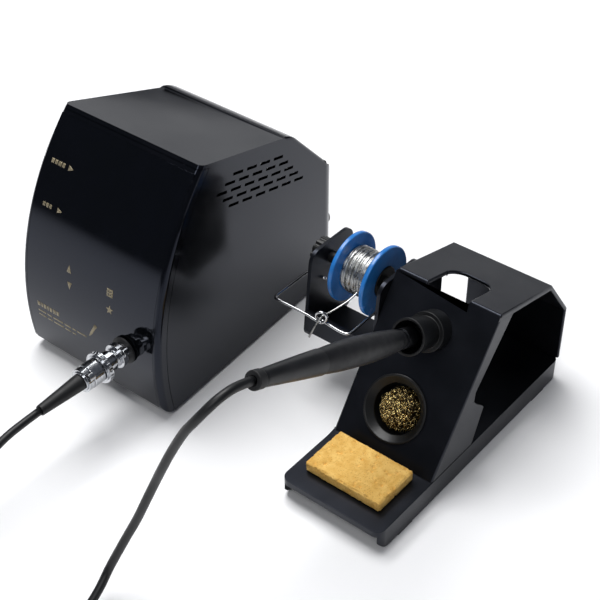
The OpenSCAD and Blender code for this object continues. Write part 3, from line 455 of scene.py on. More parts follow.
def sweep(
    path: np.ndarray, radius: float | np.ndarray, sides: int, guide: tuple[float, float, float]
) -> Surface:
    """A round tube along a path, closed at both ends.

    Each ring is the path's point plus the radius times cos(a) of one spoke and sin(a) of the
    other. The spokes are the heading crossed with a guide direction, and the heading crossed
    with that.

    Args:
        path: The points of the centre line.
        radius: One radius, or one for each point.
        sides: Number of vertices of a ring.
        guide: A direction that the path never follows.

    Returns:
        The vertices and the lists of faces.
    """
    heading = unit_rows(np.gradient(path, axis=0))
    first = unit_rows(np.cross(heading, np.array(guide)))
    second = np.cross(heading, first)
    angle = 2 * math.pi * np.arange(sides) / sides
    reach = np.broadcast_to(np.asarray(radius, dtype=float), (len(path),))[:, None, None]
    spokes = first[:, None] * np.cos(angle)[:, None] + second[:, None] * np.sin(angle)[:, None]
    rings = (path[:, None] + reach * spokes).reshape(-1, 3)
    ends = np.vstack([path[:1], path[-1:]])
    count = len(rings)
    ring = np.arange(sides)
    after = (ring + 1) % sides
    last = count - sides
    caps = [
        np.stack([after, ring, np.full(sides, count)], axis=1),
        np.stack([last + ring, last + after, np.full(sides, count + 1)], axis=1),
    ]
    return np.vstack([rings, ends]), [quads(len(path), sides, True), *caps]


def revolve(
    profile: np.ndarray,
    origin: np.ndarray,
    axis: np.ndarray,
    sides: int,
    swell: np.ndarray | float = 0.0,
) -> Surface:
    """A surface of revolution about any axis.

    The vertex at angle a is the origin plus h along the axis plus (r + swell) times
    (cos(a) of one spoke + sin(a) of the other), for each radius r and height h of the profile.

    Args:
        profile: Radius and height of each ring, from one end to the other.
        origin: The point of the axis where the height is zero.
        axis: The axis's direction.
        sides: Number of vertices of a ring.
        swell: What is added to the radius, as an array of rings and sides, or zero.

    Returns:
        The vertices and the lists of faces.
    """
    along = axis / np.linalg.norm(axis)
    helper = np.array((1.0, 0.0, 0.0)) if abs(along[0]) < 0.9 else np.array((0.0, 0.0, 1.0))
    first = unit_rows(np.cross(along, helper))
    second = np.cross(along, first)
    angle = 2 * math.pi * np.arange(sides) / sides
    spoke = first * np.cos(angle)[:, None] + second * np.sin(angle)[:, None]
    reach = (profile[:, :1] + swell)[..., None]
    rings = origin + profile[:, 1][:, None, None] * along + reach * spoke
    return rings.reshape(-1, 3), [quads(len(profile), sides, True)]


def lattice_noise(places: np.ndarray, cell: float, seed: int) -> np.ndarray:
    """Smooth noise from -1 to 1 on a lattice of seeded values.

    The eight corners of the cell around a place are blended by 3t^2 - 2t^3 along each axis.

    Args:
        places: The places, one in each row.
        cell: Size of a lattice cell.
        seed: Seed of the lattice's values.

    Returns:
        One value for each place.
    """
    size = 32
    values = np.random.default_rng(seed).uniform(-1, 1, (size, size, size))
    scaled = places / cell
    low = np.floor(scaled).astype(int)
    t = scaled - low
    t = t * t * (3 - 2 * t)
    total = np.zeros(len(places))
    for corner in np.ndindex(2, 2, 2):
        weight = np.prod(np.where(np.array(corner) == 1, t, 1 - t), axis=1)
        x, y, z = ((low + np.array(corner)) % size).T
        total += weight * values[x, y, z]
    return total


def join(parts: list[Surface]) -> Surface:
    """Several surfaces as one, each part's vertex numbers raised by the vertices before it.

    Args:
        parts: The surfaces.

    Returns:
        The vertices and the lists of faces.
    """
    starts = np.cumsum([0] + [len(points) for points, _ in parts[:-1]])
    faces = [face + start for (_, lists), start in zip(parts, starts) for face in lists]
    return np.vstack([points for points, _ in parts]), faces


def make_piece(
    name: str, surface: Surface, finish: Finish, merge: float = 1e-6, crease: float = 0.0
) -> bpy.types.Object:
    """Makes an object at the origin from a surface, smooth, with its faces outwards.

    Args:
        name: The piece's name.
        surface: Its vertices and lists of faces.
        finish: Its finish.
        merge: Distance within which vertices are merged, or zero.
        crease: Angle in degrees above which an edge is shaded sharp, or zero.

    Returns:
        The new object.
    """
    points, faces = surface
    mesh = bpy.data.meshes.new(name)
    mesh.from_pydata(points.tolist(), [], [face for part in faces for face in part.tolist()])
    work = bmesh.new()
    work.from_mesh(mesh)
    if merge > 0:
        bmesh.ops.remove_doubles(work, verts=work.verts, dist=merge)
        bmesh.ops.dissolve_degenerate(work, edges=work.edges, dist=merge)
    bmesh.ops.recalc_face_normals(work, faces=work.faces)
    work.to_mesh(mesh)
    work.free()
    mesh.polygons.foreach_set("use_smooth", np.ones(len(mesh.polygons), dtype=bool))
    if crease > 0:
        mesh.set_sharp_from_angle(angle=math.radians(crease))
    mesh.materials.append(finish.material())
    piece = bpy.data.objects.new(name, mesh)
    bpy.context.scene.collection.objects.link(piece)
    LOG.info("made %s", name)
    return piece


def make_whole(
    source: bpy.types.Mesh, target: bpy.types.Mesh, merge: float, flat: float
) -> None:
    """Writes a mesh into another with its near corners merged and its flat faces made whole.

    Args:
        source: The mesh to read.
        target: The mesh to write, which may be the same.
        merge: Distance within which corners are one, in metres.
        flat: Angle within which neighbouring faces are one flat, in radians.
    """
    work = bmesh.new()
    work.from_mesh(source)
    bmesh.ops.remove_doubles(work, verts=work.verts, dist=merge)
    bmesh.ops.dissolve_limit(work, angle_limit=flat, verts=work.verts, edges=work.edges)
    work.to_mesh(target)
    work.free()


@dataclass
class Frame:
    """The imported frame, and what is done to its nodes."""

    nodes: dict[str, bpy.types.Object]

    def corners(self, node: str) -> tuple[np.ndarray, np.ndarray]:
        """The lowest and highest corner of a node at rest."""
        low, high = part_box(node)
        return np.array(low), np.array(high)

    def dress(self, node: str, finish: Finish) -> None:
        """Gives a node that keeps its own mesh its finish.

        Args:
            node: The node's name.
            finish: Its finish.
        """
        mesh = self.nodes[node].data
        mesh.materials.clear()
        mesh.materials.append(finish.material())

    def refine(
        self, node: str, body: Body, finish: Finish, edge: float = 0.3, steps: int = 2
    ) -> bpy.types.Object:
        """Stands a finished copy in for a node: merged, smooth where it curves, with soft edges.

        Args:
            node: The node's name.
            body: The body it rides on.
            finish: Its finish.
            edge: Width of the rounding of its edges, in millimetres, or zero.
            steps: Steps of that rounding.

        Returns:
            The copy.
        """
        name = f"{node}_finished"
        return self.finish_copy(self.merged(node), name, (node,), body, finish, edge, steps)

    def merged(self, node: str) -> bpy.types.Mesh:
        """A copy of a node's mesh, its corners merged and its flat faces made whole.

        Args:
            node: The node's name.

        Returns:
            The copy.
        """
        mesh = bpy.data.meshes.new(f"{node}_copy")
        make_whole(self.nodes[node].data, mesh, NODE_MERGE, NODE_FLAT)
        return mesh

    def unite(
        self,
        nodes: tuple[str, ...],
        name: str,
        body: Body,
        finish: Finish,
        edge: float,
        steps: int,
    ) -> bpy.types.Object:
        """Stands one finished shell in for nodes that are moulded as one.

        Args:
            nodes: The nodes' names.
            name: The shell's name.
            body: The body it rides on.
            finish: Its finish.
            edge: Width of the rounding of its edges, in millimetres.
            steps: Steps of that rounding.

        Returns:
            The shell.
        """
        scene = bpy.context.scene
        parts = [bpy.data.objects.new(f"{node}_part", self.merged(node)) for node in nodes]
        for part in parts:
            scene.collection.objects.link(part)
        for part in parts[1:]:
            union = parts[0].modifiers.new("union", "BOOLEAN")
            union.operation = "UNION"
            union.solver = "EXACT"
            union.object = part
        ready = parts[0].evaluated_get(bpy.context.evaluated_depsgraph_get())
        mesh = bpy.data.meshes.new_from_object(ready)
        for part in parts:
            bpy.data.objects.remove(part)
        make_whole(mesh, mesh, SHELL_MERGE, SHELL_FLAT)
        return self.finish_copy(mesh, name, nodes, body, finish, edge, steps)

    def finish_copy(
        self,
        mesh: bpy.types.Mesh,
        name: str,
        nodes: tuple[str, ...],
        body: Body,
        finish: Finish,
        edge: float,
        steps: int,
    ) -> bpy.types.Object:
        """Makes a mesh into a piece that stands for nodes, smooth on curves, with soft edges.

        Args:
            mesh: The piece's mesh.
            name: The piece's name.
            nodes: The nodes it stands for.
            body: The body it rides on.
            finish: Its finish.
            edge: Width of the rounding of its edges, in millimetres, or zero.
            steps: Steps of that rounding.

        Returns:
            The piece.
        """
        if "custom_normal" in mesh.attributes:
            mesh.attributes.remove(mesh.attributes["custom_normal"])
        mesh.polygons.foreach_set("use_smooth", np.ones(len(mesh.polygons), dtype=bool))
        mesh.set_sharp_from_angle(angle=SMOOTH_UNDER)
        mesh.materials.clear()
        mesh.materials.append(finish.material())
        mesh.polygons.foreach_set("material_index", np.zeros(len(mesh.polygons), dtype=np.int32))
        piece = bpy.data.objects.new(name, mesh)
        bpy.context.scene.collection.objects.link(piece)
        if edge > 0:
            bevel = piece.modifiers.new("soft_edges", "BEVEL")
            bevel.width = edge * MM
            bevel.segments = steps
            bevel.limit_method = "ANGLE"
            bevel.angle_limit = SOFTEN_OVER
            # A united shell has short edges at its seams, which would hold the rounding back
            bevel.use_clamp_overlap = len(nodes) == 1
            weigh = piece.modifiers.new("flat_faces", "WEIGHTED_NORMAL")
            weigh.keep_sharp = True
        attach(piece, body.value)
        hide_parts(*nodes)
        LOG.info("finished %s", name)
        return piece


def settle(
    piece: bpy.types.Object, body: Body, replaced: tuple[str, ...] = ()
) -> bpy.types.Object:
    """Lets a piece ride on its body and stand for nodes.

    Args:
        piece: The piece.
        body: The body it rides on.
        replaced: The nodes it stands for.

    Returns:
        The same piece.
    """
    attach(piece, body.value)
    if replaced:
        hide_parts(*replaced)
    return piece


# ---- Studio --------------------------------------------------------------------------------


@dataclass
class SoftBox:
    """A rectangular soft light."""

    name: str
    place: tuple[float, float, float]
    aim: tuple[float, float, float]
    width: float
    height: float
    power: float

    def build(self) -> None:
        """Hangs the light at its place, turned to its aim."""
        lamp = bpy.data.lights.new(self.name, "AREA")
        lamp.shape = "RECTANGLE"
        lamp.size = self.width
        lamp.size_y = self.height
        lamp.energy = self.power
        stand = bpy.data.objects.new(self.name, lamp)
        stand.location = self.place
        away = np.array(self.place) - np.array(self.aim)
        level = math.hypot(away[0], away[1])
        stand.rotation_euler = (math.atan2(level, away[2]), 0.0, math.atan2(away[0], -away[1]))
        bpy.context.scene.collection.objects.link(stand)


@dataclass
class Studio:
    """Camera, soft light and a plain pale floor."""

    eye: tuple[float, float, float] = (0.43496, -0.49784, 0.6032)
    tilt: float = 51.11
    turn: float = 38.972
    lens: float = 82.908
    sky: float = 0.13
    sky_colour: str = "dfe6f5"
    floor_half: float = 4.0
    floor_rows: int = 9
    lights: tuple[SoftBox, ...] = field(
        default_factory=lambda: (
            SoftBox("key", (-0.55, 0.15, 2.0), (0.0, 0.0, 0.05), 1.3, 1.3, 50.0),
            SoftBox("backdrop", (-1.7, 2.1, 1.0), (0.0, 0.0, 0.1), 2.6, 1.3, 7.5),
            SoftBox("front_fill", (0.6, -1.6, 1.9), (0.0, 0.0, 0.05), 1.0, 1.0, 14.0),
        )
    )

    def camera(self) -> None:
        """Sets up the camera, in front of the stand's right side and above it."""
        lens = bpy.data.cameras.new("camera")
        lens.lens = self.lens
        lens.sensor_width = 36.0
        lens.clip_start = 0.01
        camera = bpy.data.objects.new("camera", lens)
        camera.location = self.eye
        camera.rotation_euler = (math.radians(self.tilt), 0.0, math.radians(self.turn))
        bpy.context.scene.collection.objects.link(camera)
        bpy.context.scene.camera = camera

    def light(self) -> None:
        """Hangs the lights and sets the even light of the room."""
        for box in self.lights:
            box.build()
        world = bpy.data.worlds.new("room")
        world.use_nodes = True
        tree = world.node_tree
        tree.nodes.clear()
        glow = add_node(
            tree,
            "ShaderNodeBackground",
            {"Color": linear(self.sky_colour), "Strength": self.sky},
        ).outputs["Background"]
        add_node(tree, "ShaderNodeOutputWorld", {"Surface": glow})
        bpy.context.scene.world = world
        bpy.context.scene.view_settings.view_transform = "Standard"

    def floor(self) -> None:
        """Lays the floor: x and y each run evenly from one end to the other, at height zero."""
        run = np.linspace(-self.floor_half, self.floor_half, self.floor_rows)
        x, y = np.meshgrid(run, run, indexing="ij")
        points = np.stack([x, y, np.zeros_like(x)], axis=-1).reshape(-1, 3)
        faces = [quads(self.floor_rows, self.floor_rows, False)]
        floor = make_piece("floor", (points, faces), FLOOR_PAINT)


# ---- Cord ----------------------------------------------------------------------------------


@dataclass
class IronCord:
    """The cord of the iron: from its tail down to the table, through a coil, and to its plug.

    The coil has two layers of turns. It starts outside, closes in, climbs, and comes out again
    on top. All lengths here are in millimetres.
    """

    radius: float = 2.5
    sides: int = 16
    centre: tuple[float, float] = (-20.0, -267.0)
    wide: float = 32.5
    narrow: float = 27.4
    low: float = 2.6
    high: float = 7.7
    turns: float = 3.5
    turn_steps: int = 24
    close_in: tuple[float, float] = (0.80, 1.0)
    climb: tuple[float, float] = (1.75, 1.95)
    open_out: tuple[float, float] = (2.52, 2.72)
    tie_sides: int = 48
    tail: tuple[float, float, float] = (107.858, -129.70, 156.61)
    plug: tuple[float, float, float] = (-52.142, -136.977, 46.7)
    from_iron: tuple[tuple[float, float, float], ...] = (
        (107.9, -137, 159.5), (107.6, -144.5, 161.3), (106.5, -152.5, 160.5),
        (103.5, -159, 155.5), (99, -162.5, 148), (94, -164, 140), (86, -165, 124),
        (79, -166, 108), (72, -166, 92), (66, -168, 76), (60, -170, 60), (54, -173, 45),
        (49, -177, 31), (46, -182, 20), (47, -191, 13), (47, -201, 7), (45, -212, 4),
        (39, -224, 2.8), (30, -235, 2.6), (21, -246, 2.6), (14, -257, 2.6),
    )
    to_plug: tuple[tuple[float, float, float], ...] = (
        (-52.5, -255, 7.7), (-52, -242, 8.6), (-52, -228, 12), (-52, -215, 18.5),
        (-52, -202, 27.5), (-52, -189, 36), (-52, -176, 42), (-52.1, -163, 45.5),
        (-52.1, -150, 46.5),
    )

    # In metres: two places on the cord's line, one on its way down and one by the iron's tail
    still_until: tuple[float, float, float] = (0.066, -0.168, 0.076)
    moves_from: tuple[float, float, float] = (0.1076, -0.140, 0.158)

    def coil(self) -> np.ndarray:
        """The coil's line: at turn t the angle is -360t, and radius and height ease over steps.

        Returns:
            The points, in millimetres.
        """
        t = np.linspace(0, self.turns, int(self.turns * self.turn_steps) + 1)

        def eased(span: tuple[float, float]) -> np.ndarray:
            """3u^2 - 2u^3, where u is 0 before the span of turns, 1 after it, and even in it."""
            u = np.clip((t - span[0]) / (span[1] - span[0]), 0, 1)
            return u * u * (3 - 2 * u)

        closed = eased(self.close_in) - eased(self.open_out)
        reach = self.wide + (self.narrow - self.wide) * closed
        height = self.low + (self.high - self.low) * eased(self.climb)
        angle = -2 * math.pi * t
        x = self.centre[0] + reach * np.cos(angle)
        y = self.centre[1] + reach * np.sin(angle)
        return np.stack([x, y, height], axis=1)

    def line(self) -> np.ndarray:
        """The whole centre line from the iron's tail to the plug.

        Returns:
            The points, in metres.
        """
        coil = self.coil()
        points = np.vstack([[self.tail], self.from_iron, coil, self.to_plug, [self.plug]])
        return smooth_path(points * MM, 3)

    def build(self, frame: Frame) -> None:
        """Args:
            frame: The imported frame.
        """
        path = self.line()
        cord = make_piece(
            "iron_cord", sweep(path, self.radius * MM, self.sides, UP), CORD_JACKET, merge=0
        )
        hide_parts("cord_to_plug", "cord_coil", "cord_to_iron")
        boot = frame.refine("plug_boot", Body.BASE, RUBBER, 0.3)
        clamp = frame.refine("plug_clamp", Body.BASE, CHROME, 0.35)
        shell = frame.refine("plug_shell", Body.BASE, CHROME, 0.4)
        nut = frame.refine("coupling_nut", Body.NUT, CHROME, 0.25)
        tie = self.tie()
        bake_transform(cord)

    def tie(self) -> bpy.types.Object:
        """The tie round the coil's far side: a flat strap along a rounded rectangle.

        The strap's line is the superellipse |y/a|^4 + |z/b|^4 = 1 round the turns' section, and
        its width runs along X. Its own section has six corners, each given by its X and by how
        far it stands out.

        Returns:
            The tie.
        """
        y_mid = self.centre[1] - (self.wide + self.narrow) / 2
        z_mid = (self.low + self.high) / 2
        half_y = (self.wide - self.narrow) / 2 + self.radius + 0.35
        half_z = (self.high - self.low) / 2 + self.radius
        angle = np.linspace(0, 2 * math.pi, self.tie_sides + 1)[:-1]
        c, s = np.cos(angle), np.sin(angle)
        section = (
            (-2.0, 0.0), (-1.6, 0.3), (1.6, 0.3), (2.0, 0.0),
            (1.6, -0.3), (-1.6, -0.3), (-2.0, 0.0),
        )
        rows = []
        for x, grow in section:
            y = y_mid + (half_y + grow) * np.sign(c) * np.abs(c) ** 0.5
            z = z_mid + (half_z - 0.1 + grow * 0.3) * np.sign(s) * np.abs(s) ** 0.5
            rows.append(np.stack([np.full_like(y, self.centre[0] + x), y, z], axis=1))
        surface = (np.vstack(rows) * MM, [quads(len(rows), self.tie_sides, True)])
        return settle(make_piece("cord_tie", surface, RUBBER), Body.BASE)


# ---- Control unit --------------------------------------------------------------------------


@dataclass
class ControlUnit:
    """The housing, its bowed front with printed marks, and what is inside and behind."""

    unit_x: float = -84.142
    front_y: float = -66.639
    bow_radius: float = 182.6
    bow_height: float = 39.0
    height: float = 165.0
    edge_y: float = -16.2
    shoulder_z: float = 88.0
    back_y: float = 123.361
    half_width: float = 60.0
    top_slope: float = 15.3
    shoulder_slope: float = 46.0
    side_slope: float = 3.5
    outline: float = 1.8
    line_bars: tuple[float, ...] = (7.0, 4.2, 9.0, 5.6, 3.2, 8.4)
    ink: float = 0.05

    def build(self, frame: Frame) -> None:
        """Dresses every part of the unit and prints the front.

        Args:
            frame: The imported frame.
        """
        housing = frame.refine("housing", Body.BASE, GLOSS_SHELL, 0.3, 3)
        self.soften_outline(housing)
        frame.refine("bezel", Body.BASE, GLOSS_SHELL, 0.3, 3)
        frame.refine("overlay", Body.BASE, OVERLAY, 0.15)
        for node in ("base_plate", "switch_frame", "inlet", "fuse_holder"):
            frame.refine(node, Body.BASE, PLAIN_ABS, 0.25)
        for node in ("foot_front_left", "foot_front_right", "foot_back_left", "foot_back_right"):
            frame.refine(node, Body.BASE, RUBBER, 0.5)
        frame.refine("rocker", Body.ROCKER, RED_ACRYLIC, 0.25)
        frame.refine("fuse_cap", Body.CAP, PLAIN_ABS, 0.3)
        for node in ("display_upper", "display_lower"):
            frame.dress(node, SMOKED_FILTER)
        for node in ("panel_board", "main_board"):
            frame.dress(node, BOARD)
        frame.dress("heat_sink", ALUMINIUM)
        frame.dress("transformer_core", CORE_STEEL)
        frame.dress("transformer_winding", ENAMELLED_COPPER)
        frame.dress("inlet_pins", CHROME)
        self.print_front()
        self.dress_socket(frame)

    def soften_outline(self, housing: bpy.types.Object) -> None:
        """Rounds the housing's outer side edges more than the rest.

        An edge counts if both its ends lie on a side, where |x| is within 0.6 mm of the side's
        half width, and within 4.5 mm of the outline of the side view, which is the least of the
        depths under the top, the shoulder and the back. The front's own edges, up to 60 mm
        behind it, are left alone.

        Args:
            housing: The housing's finished copy.
        """
        mesh = housing.data
        spots = np.empty(len(mesh.vertices) * 3)
        mesh.vertices.foreach_get("co", spots)
        x, y, z = spots.reshape(-1, 3).T / MM
        slopes = (self.top_slope, self.shoulder_slope, self.side_slope)
        top, shoulder, side = (math.tan(math.radians(slope)) for slope in slopes)
        # The cosine of the shoulder's slope, which turns a height over it to a depth under it
        square_on = 0.69
        depth = np.minimum.reduce(
            [
                self.height - top * (y - self.edge_y) - z,
                (self.shoulder_z + shoulder * (self.back_y - y) - z) * square_on,
                self.back_y - y,
            ]
        )
        half = self.half_width - side * (y - self.front_y)
        on_side = np.abs(np.abs(x - self.unit_x) - half) < 0.6
        outer = on_side & (depth < 4.5) & (y > self.front_y + 60)
        ends = np.empty(len(mesh.edges) * 2, dtype=np.int32)
        mesh.edges.foreach_get("vertices", ends)
        weight = mesh.attributes.new("bevel_weight_edge", "FLOAT", "EDGE")
        weight.data.foreach_set("value", outer[ends.reshape(-1, 2)].all(axis=1).astype(np.float32))
        wide = housing.modifiers.new("outline", "BEVEL")
        wide.width = self.outline * MM
        wide.segments = 4
        wide.limit_method = "WEIGHT"
        wide.use_clamp_overlap = False
        housing.modifiers.move(len(housing.modifiers) - 1, 0)

    def on_bow(self, flat: np.ndarray) -> np.ndarray:
        """Lays points of the front view onto the bow.

        y is the bow's axis minus the square root of radius^2 minus (z - axis height)^2, less the
        ink's thickness.

        Args:
            flat: X and Z of each point, in millimetres.

        Returns:
            The points in metres.
        """
        x, z = flat[..., 0], flat[..., 1]
        sunk = self.bow_radius - np.sqrt(self.bow_radius**2 - (z - self.bow_height) ** 2)
        return np.stack([x, self.front_y + sunk - self.ink, z], axis=-1) * MM

    def patch(self, corners: list[tuple[float, float]], steps: int = 4) -> Surface:
        """A four-cornered mark on the bow, its points mixed evenly between the four corners.

        Args:
            corners: X and Z of the corners, in millimetres, in order round the mark.
            steps: Points along each side.

        Returns:
            The vertices and the lists of faces.
        """
        u, v = np.meshgrid(np.linspace(0, 1, steps), np.linspace(0, 1, steps), indexing="ij")
        a, b, c, d = np.array(corners, dtype=float)
        flat = (
            a * ((1 - u) * (1 - v))[..., None] + b * (u * (1 - v))[..., None]
            + c * (u * v)[..., None] + d * ((1 - u) * v)[..., None]
        )
        return self.on_bow(flat).reshape(-1, 3), [quads(steps, steps, False)]

    def bar(self, x: float, z: float, width: float, height: float) -> Surface:
        """An upright rectangle whose lower left corner is at x and z."""
        return self.patch([(x, z), (x + width, z), (x + width, z + height), (x, z + height)])

    def arrow(self, x: float, z: float, size: float, turn: float) -> Surface:
        """A three-cornered arrow about a point, its corners at 0, 2.4 and -2.4 radians.

        Args:
            x: X of its middle.
            z: Z of its middle.
            size: How far the corners are from the middle.
            turn: Where it points, in degrees from the right.

        Returns:
            The vertices and the lists of faces.
        """
        angle = np.radians(turn) + np.array([0.0, 2.4, -2.4, 0.0])
        flat = np.stack([x + size * np.cos(angle), z + size * np.sin(angle)], axis=1)
        return self.patch([tuple(corner) for corner in flat])

    def row(
        self, x: float, z: float, widths: tuple[float, ...], height: float, gap: float
    ) -> list[Surface]:
        """A row of bars that stands for a word or a line of words.

        Args:
            x: X of its left end.
            z: Z of its foot.
            widths: Width of each bar.
            height: Their height.
            gap: Space between two of them.

        Returns:
            The bars.
        """
        bars = []
        for width in widths:
            bars.append(self.bar(x, z, width, height))
            x += width + gap
        return bars

    def grid_symbol(self) -> list[Surface]:
        """A grid of three bars each way.

        Returns:
            The bars.
        """
        marks = []
        for i in range(3):
            marks.append(self.bar(-68.6, 78.3 + 2.0 * i, 5.2, 1.2))
            marks.append(self.bar(-68.6 + 2.0 * i, 78.3, 1.2, 5.2))
        return marks

    def star_symbol(self) -> list[Surface]:
        """A star of five kites, each from the middle over two inner corners to a point.

        Returns:
            The kites.
        """
        centre = np.array((-65.4, 69.4))
        marks = []
        for i in range(5):
            angle = math.radians(90 + 72 * i)
            half = math.radians(36)
            tip, left, right = (
                tuple(centre + reach * np.array((math.cos(way), math.sin(way))))
                for reach, way in ((3.3, angle), (1.4, angle + half), (1.4, angle - half))
            )
            marks.append(self.patch([tuple(centre), left, tip, right]))
        return marks

    def print_front(self) -> None:
        """Prints the marks: bars for words, arrows for the keys, and three plain symbols."""
        marks = self.row(-133.2, 136.2, (2.4, 2.2, 2.8, 2.2), 2.4, 0.7)
        marks += self.row(-131.2, 111.9, (2.2, 2.2, 2.0), 2.4, 0.7)
        marks.append(self.arrow(-116.6, 137.4, 2.4, 0))
        marks.append(self.arrow(-116.6, 113.1, 2.4, 0))
        marks.append(self.arrow(-101.6, 81.6, 3.0, 90))
        marks.append(self.arrow(-100.5, 70.9, 3.0, -90))
        marks += self.grid_symbol() + self.star_symbol()
        # A slanting brush and its nib
        marks.append(self.patch([(-83.2, 43.6), (-81.8, 42.6), (-76.2, 51.4), (-78.4, 52.6)]))
        marks.append(self.patch([(-84.2, 41.0), (-83.6, 40.8), (-81.8, 42.6), (-83.2, 43.6)]))
        marks += self.row(-131.0, 42.0, (2.6, 1.4, 2.6, 1.4, 2.2, 2.6, 2.2), 3.4, 0.8)
        marks += self.row(-131.0, 37.6, self.line_bars, 1.2, 1.3)
        marks += self.row(-131.0, 34.2, self.line_bars[:-1], 1.2, 1.3)
        ink = make_piece("front_marks", join(marks), GOLD_INK, merge=1e-7)
        body = ink.modifiers.new("ink_thickness", "SOLIDIFY")
        body.thickness = 0.8 * self.ink * MM
        body.offset = -1.0
        settle(ink, Body.BASE)

    def dress_socket(self, frame: Frame) -> None:
        """Dresses the socket on the front that takes the iron's plug.

        Args:
            frame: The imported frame.
        """
        frame.refine("socket_flange", Body.BASE, RUBBER, 0.2)
        frame.refine("socket_shell", Body.BASE, CHROME, 0.3)
        frame.refine("socket_nut", Body.BASE, CHROME, 0.3)
        frame.refine("socket_clamp", Body.BASE, CHROME, 0.35)


# ---- Stand ---------------------------------------------------------------------------------


@dataclass
class Stand:
    """The moulded stand with its iron holder and cup."""

    edge: float = 1.1

    def build(self, frame: Frame) -> None:
        """Dresses the stand's plates, pads, holder and cup.

        Args:
            frame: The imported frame.
        """
        plates = ("stand_plate", "stand_web", "stand_top", "stand_back", "stand_wall")
        frame.refine("stand_base", Body.BASE, SATIN_SHELL, 0.6, 3)
        frame.unite(
            plates, "stand_upper_shell", Body.BASE, SATIN_SHELL, self.edge, 4
        )
        for node in ("pad_front_left", "pad_front_right", "pad_back_left", "pad_back_right"):
            frame.refine(node, Body.BASE, RUBBER, 0.15)
        for node in ("holder", "holder_nut", "wool_cup"):
            frame.refine(node, Body.BASE, PLAIN_ABS, 0.4, 3)


@dataclass
class CleaningSponge:
    """The cellulose sponge that lies on the tray: a cut block with torn edges and open pits."""

    step: float = 0.6
    edge: float = 1.2
    pits: int = 150
    deepest: float = 1.8

    def build(self, frame: Frame) -> None:
        """The surface is a box of even grids whose corners are pulled in by a rounding of radius e:
        the point is clamped to the box shrunk by e, and then set e away from that. It is then
        pushed in by two sizes of lattice noise, more along the box's edges, and by round pits,
        each of depth d times 1 - (distance / radius)^2 inside its radius.

        Args:
            frame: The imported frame.
        """
        low, high = frame.corners("sponge")
        low, high = low / MM, high / MM
        points, faces = self.block(low, high)
        near = np.clip(points, low + self.edge, high - self.edge)
        away = points - near
        size = np.linalg.norm(away, axis=1, keepdims=True)
        normal = away / np.maximum(size, 1e-9)
        points = near + normal * self.edge
        rim = np.minimum((np.abs(normal) > 0.25).sum(axis=1) - 1, 1) * 0.75 + 0.08
        torn = rim * (0.6 + 0.6 * lattice_noise(points, 1.7, 4))
        sink = torn + 0.16 * (1 + lattice_noise(points, 5.0, 5))
        draw = np.random.default_rng(9)
        for centre in points[draw.integers(0, len(points), self.pits)]:
            reach = draw.uniform(0.5, 1.5)
            gap = np.linalg.norm(points - centre, axis=1) / reach
            sink = np.maximum(sink, reach * 1.1 * np.clip(1 - gap**2, 0, 1) + 0.1)
        points = points - normal * np.clip(sink, 0, self.deepest)[:, None]
        points[:, 2] = np.maximum(points[:, 2], low[2])
        sponge = make_piece("cut_sponge", (points * MM, faces), CELLULOSE)
        settle(sponge, Body.SPONGE, ("sponge",))

    def block(self, low: np.ndarray, high: np.ndarray) -> Surface:
        """Six even grids over a box, one for each side, with the corners they share made one.

        Args:
            low: The box's lowest corner, in millimetres.
            high: Its highest corner.

        Returns:
            The vertices and the lists of faces.
        """
        parts = []
        for axis in range(3):
            u_axis, v_axis = (axis + 1) % 3, (axis + 2) % 3
            u = np.linspace(low[u_axis], high[u_axis], int((high - low)[u_axis] / self.step) + 1)
            v = np.linspace(low[v_axis], high[v_axis], int((high - low)[v_axis] / self.step) + 1)
            uu, vv = np.meshgrid(u, v, indexing="ij")
            for end in (low, high):
                grid = np.empty(uu.shape + (3,))
                grid[..., u_axis], grid[..., v_axis], grid[..., axis] = uu, vv, end[axis]
                parts.append((grid.reshape(-1, 3), [quads(len(u), len(v), False)]))
        points, faces = join(parts)
        keys, back = np.unique(np.round(points, 4), axis=0, return_inverse=True)
        return keys, [back.reshape(-1)[face] for face in faces]


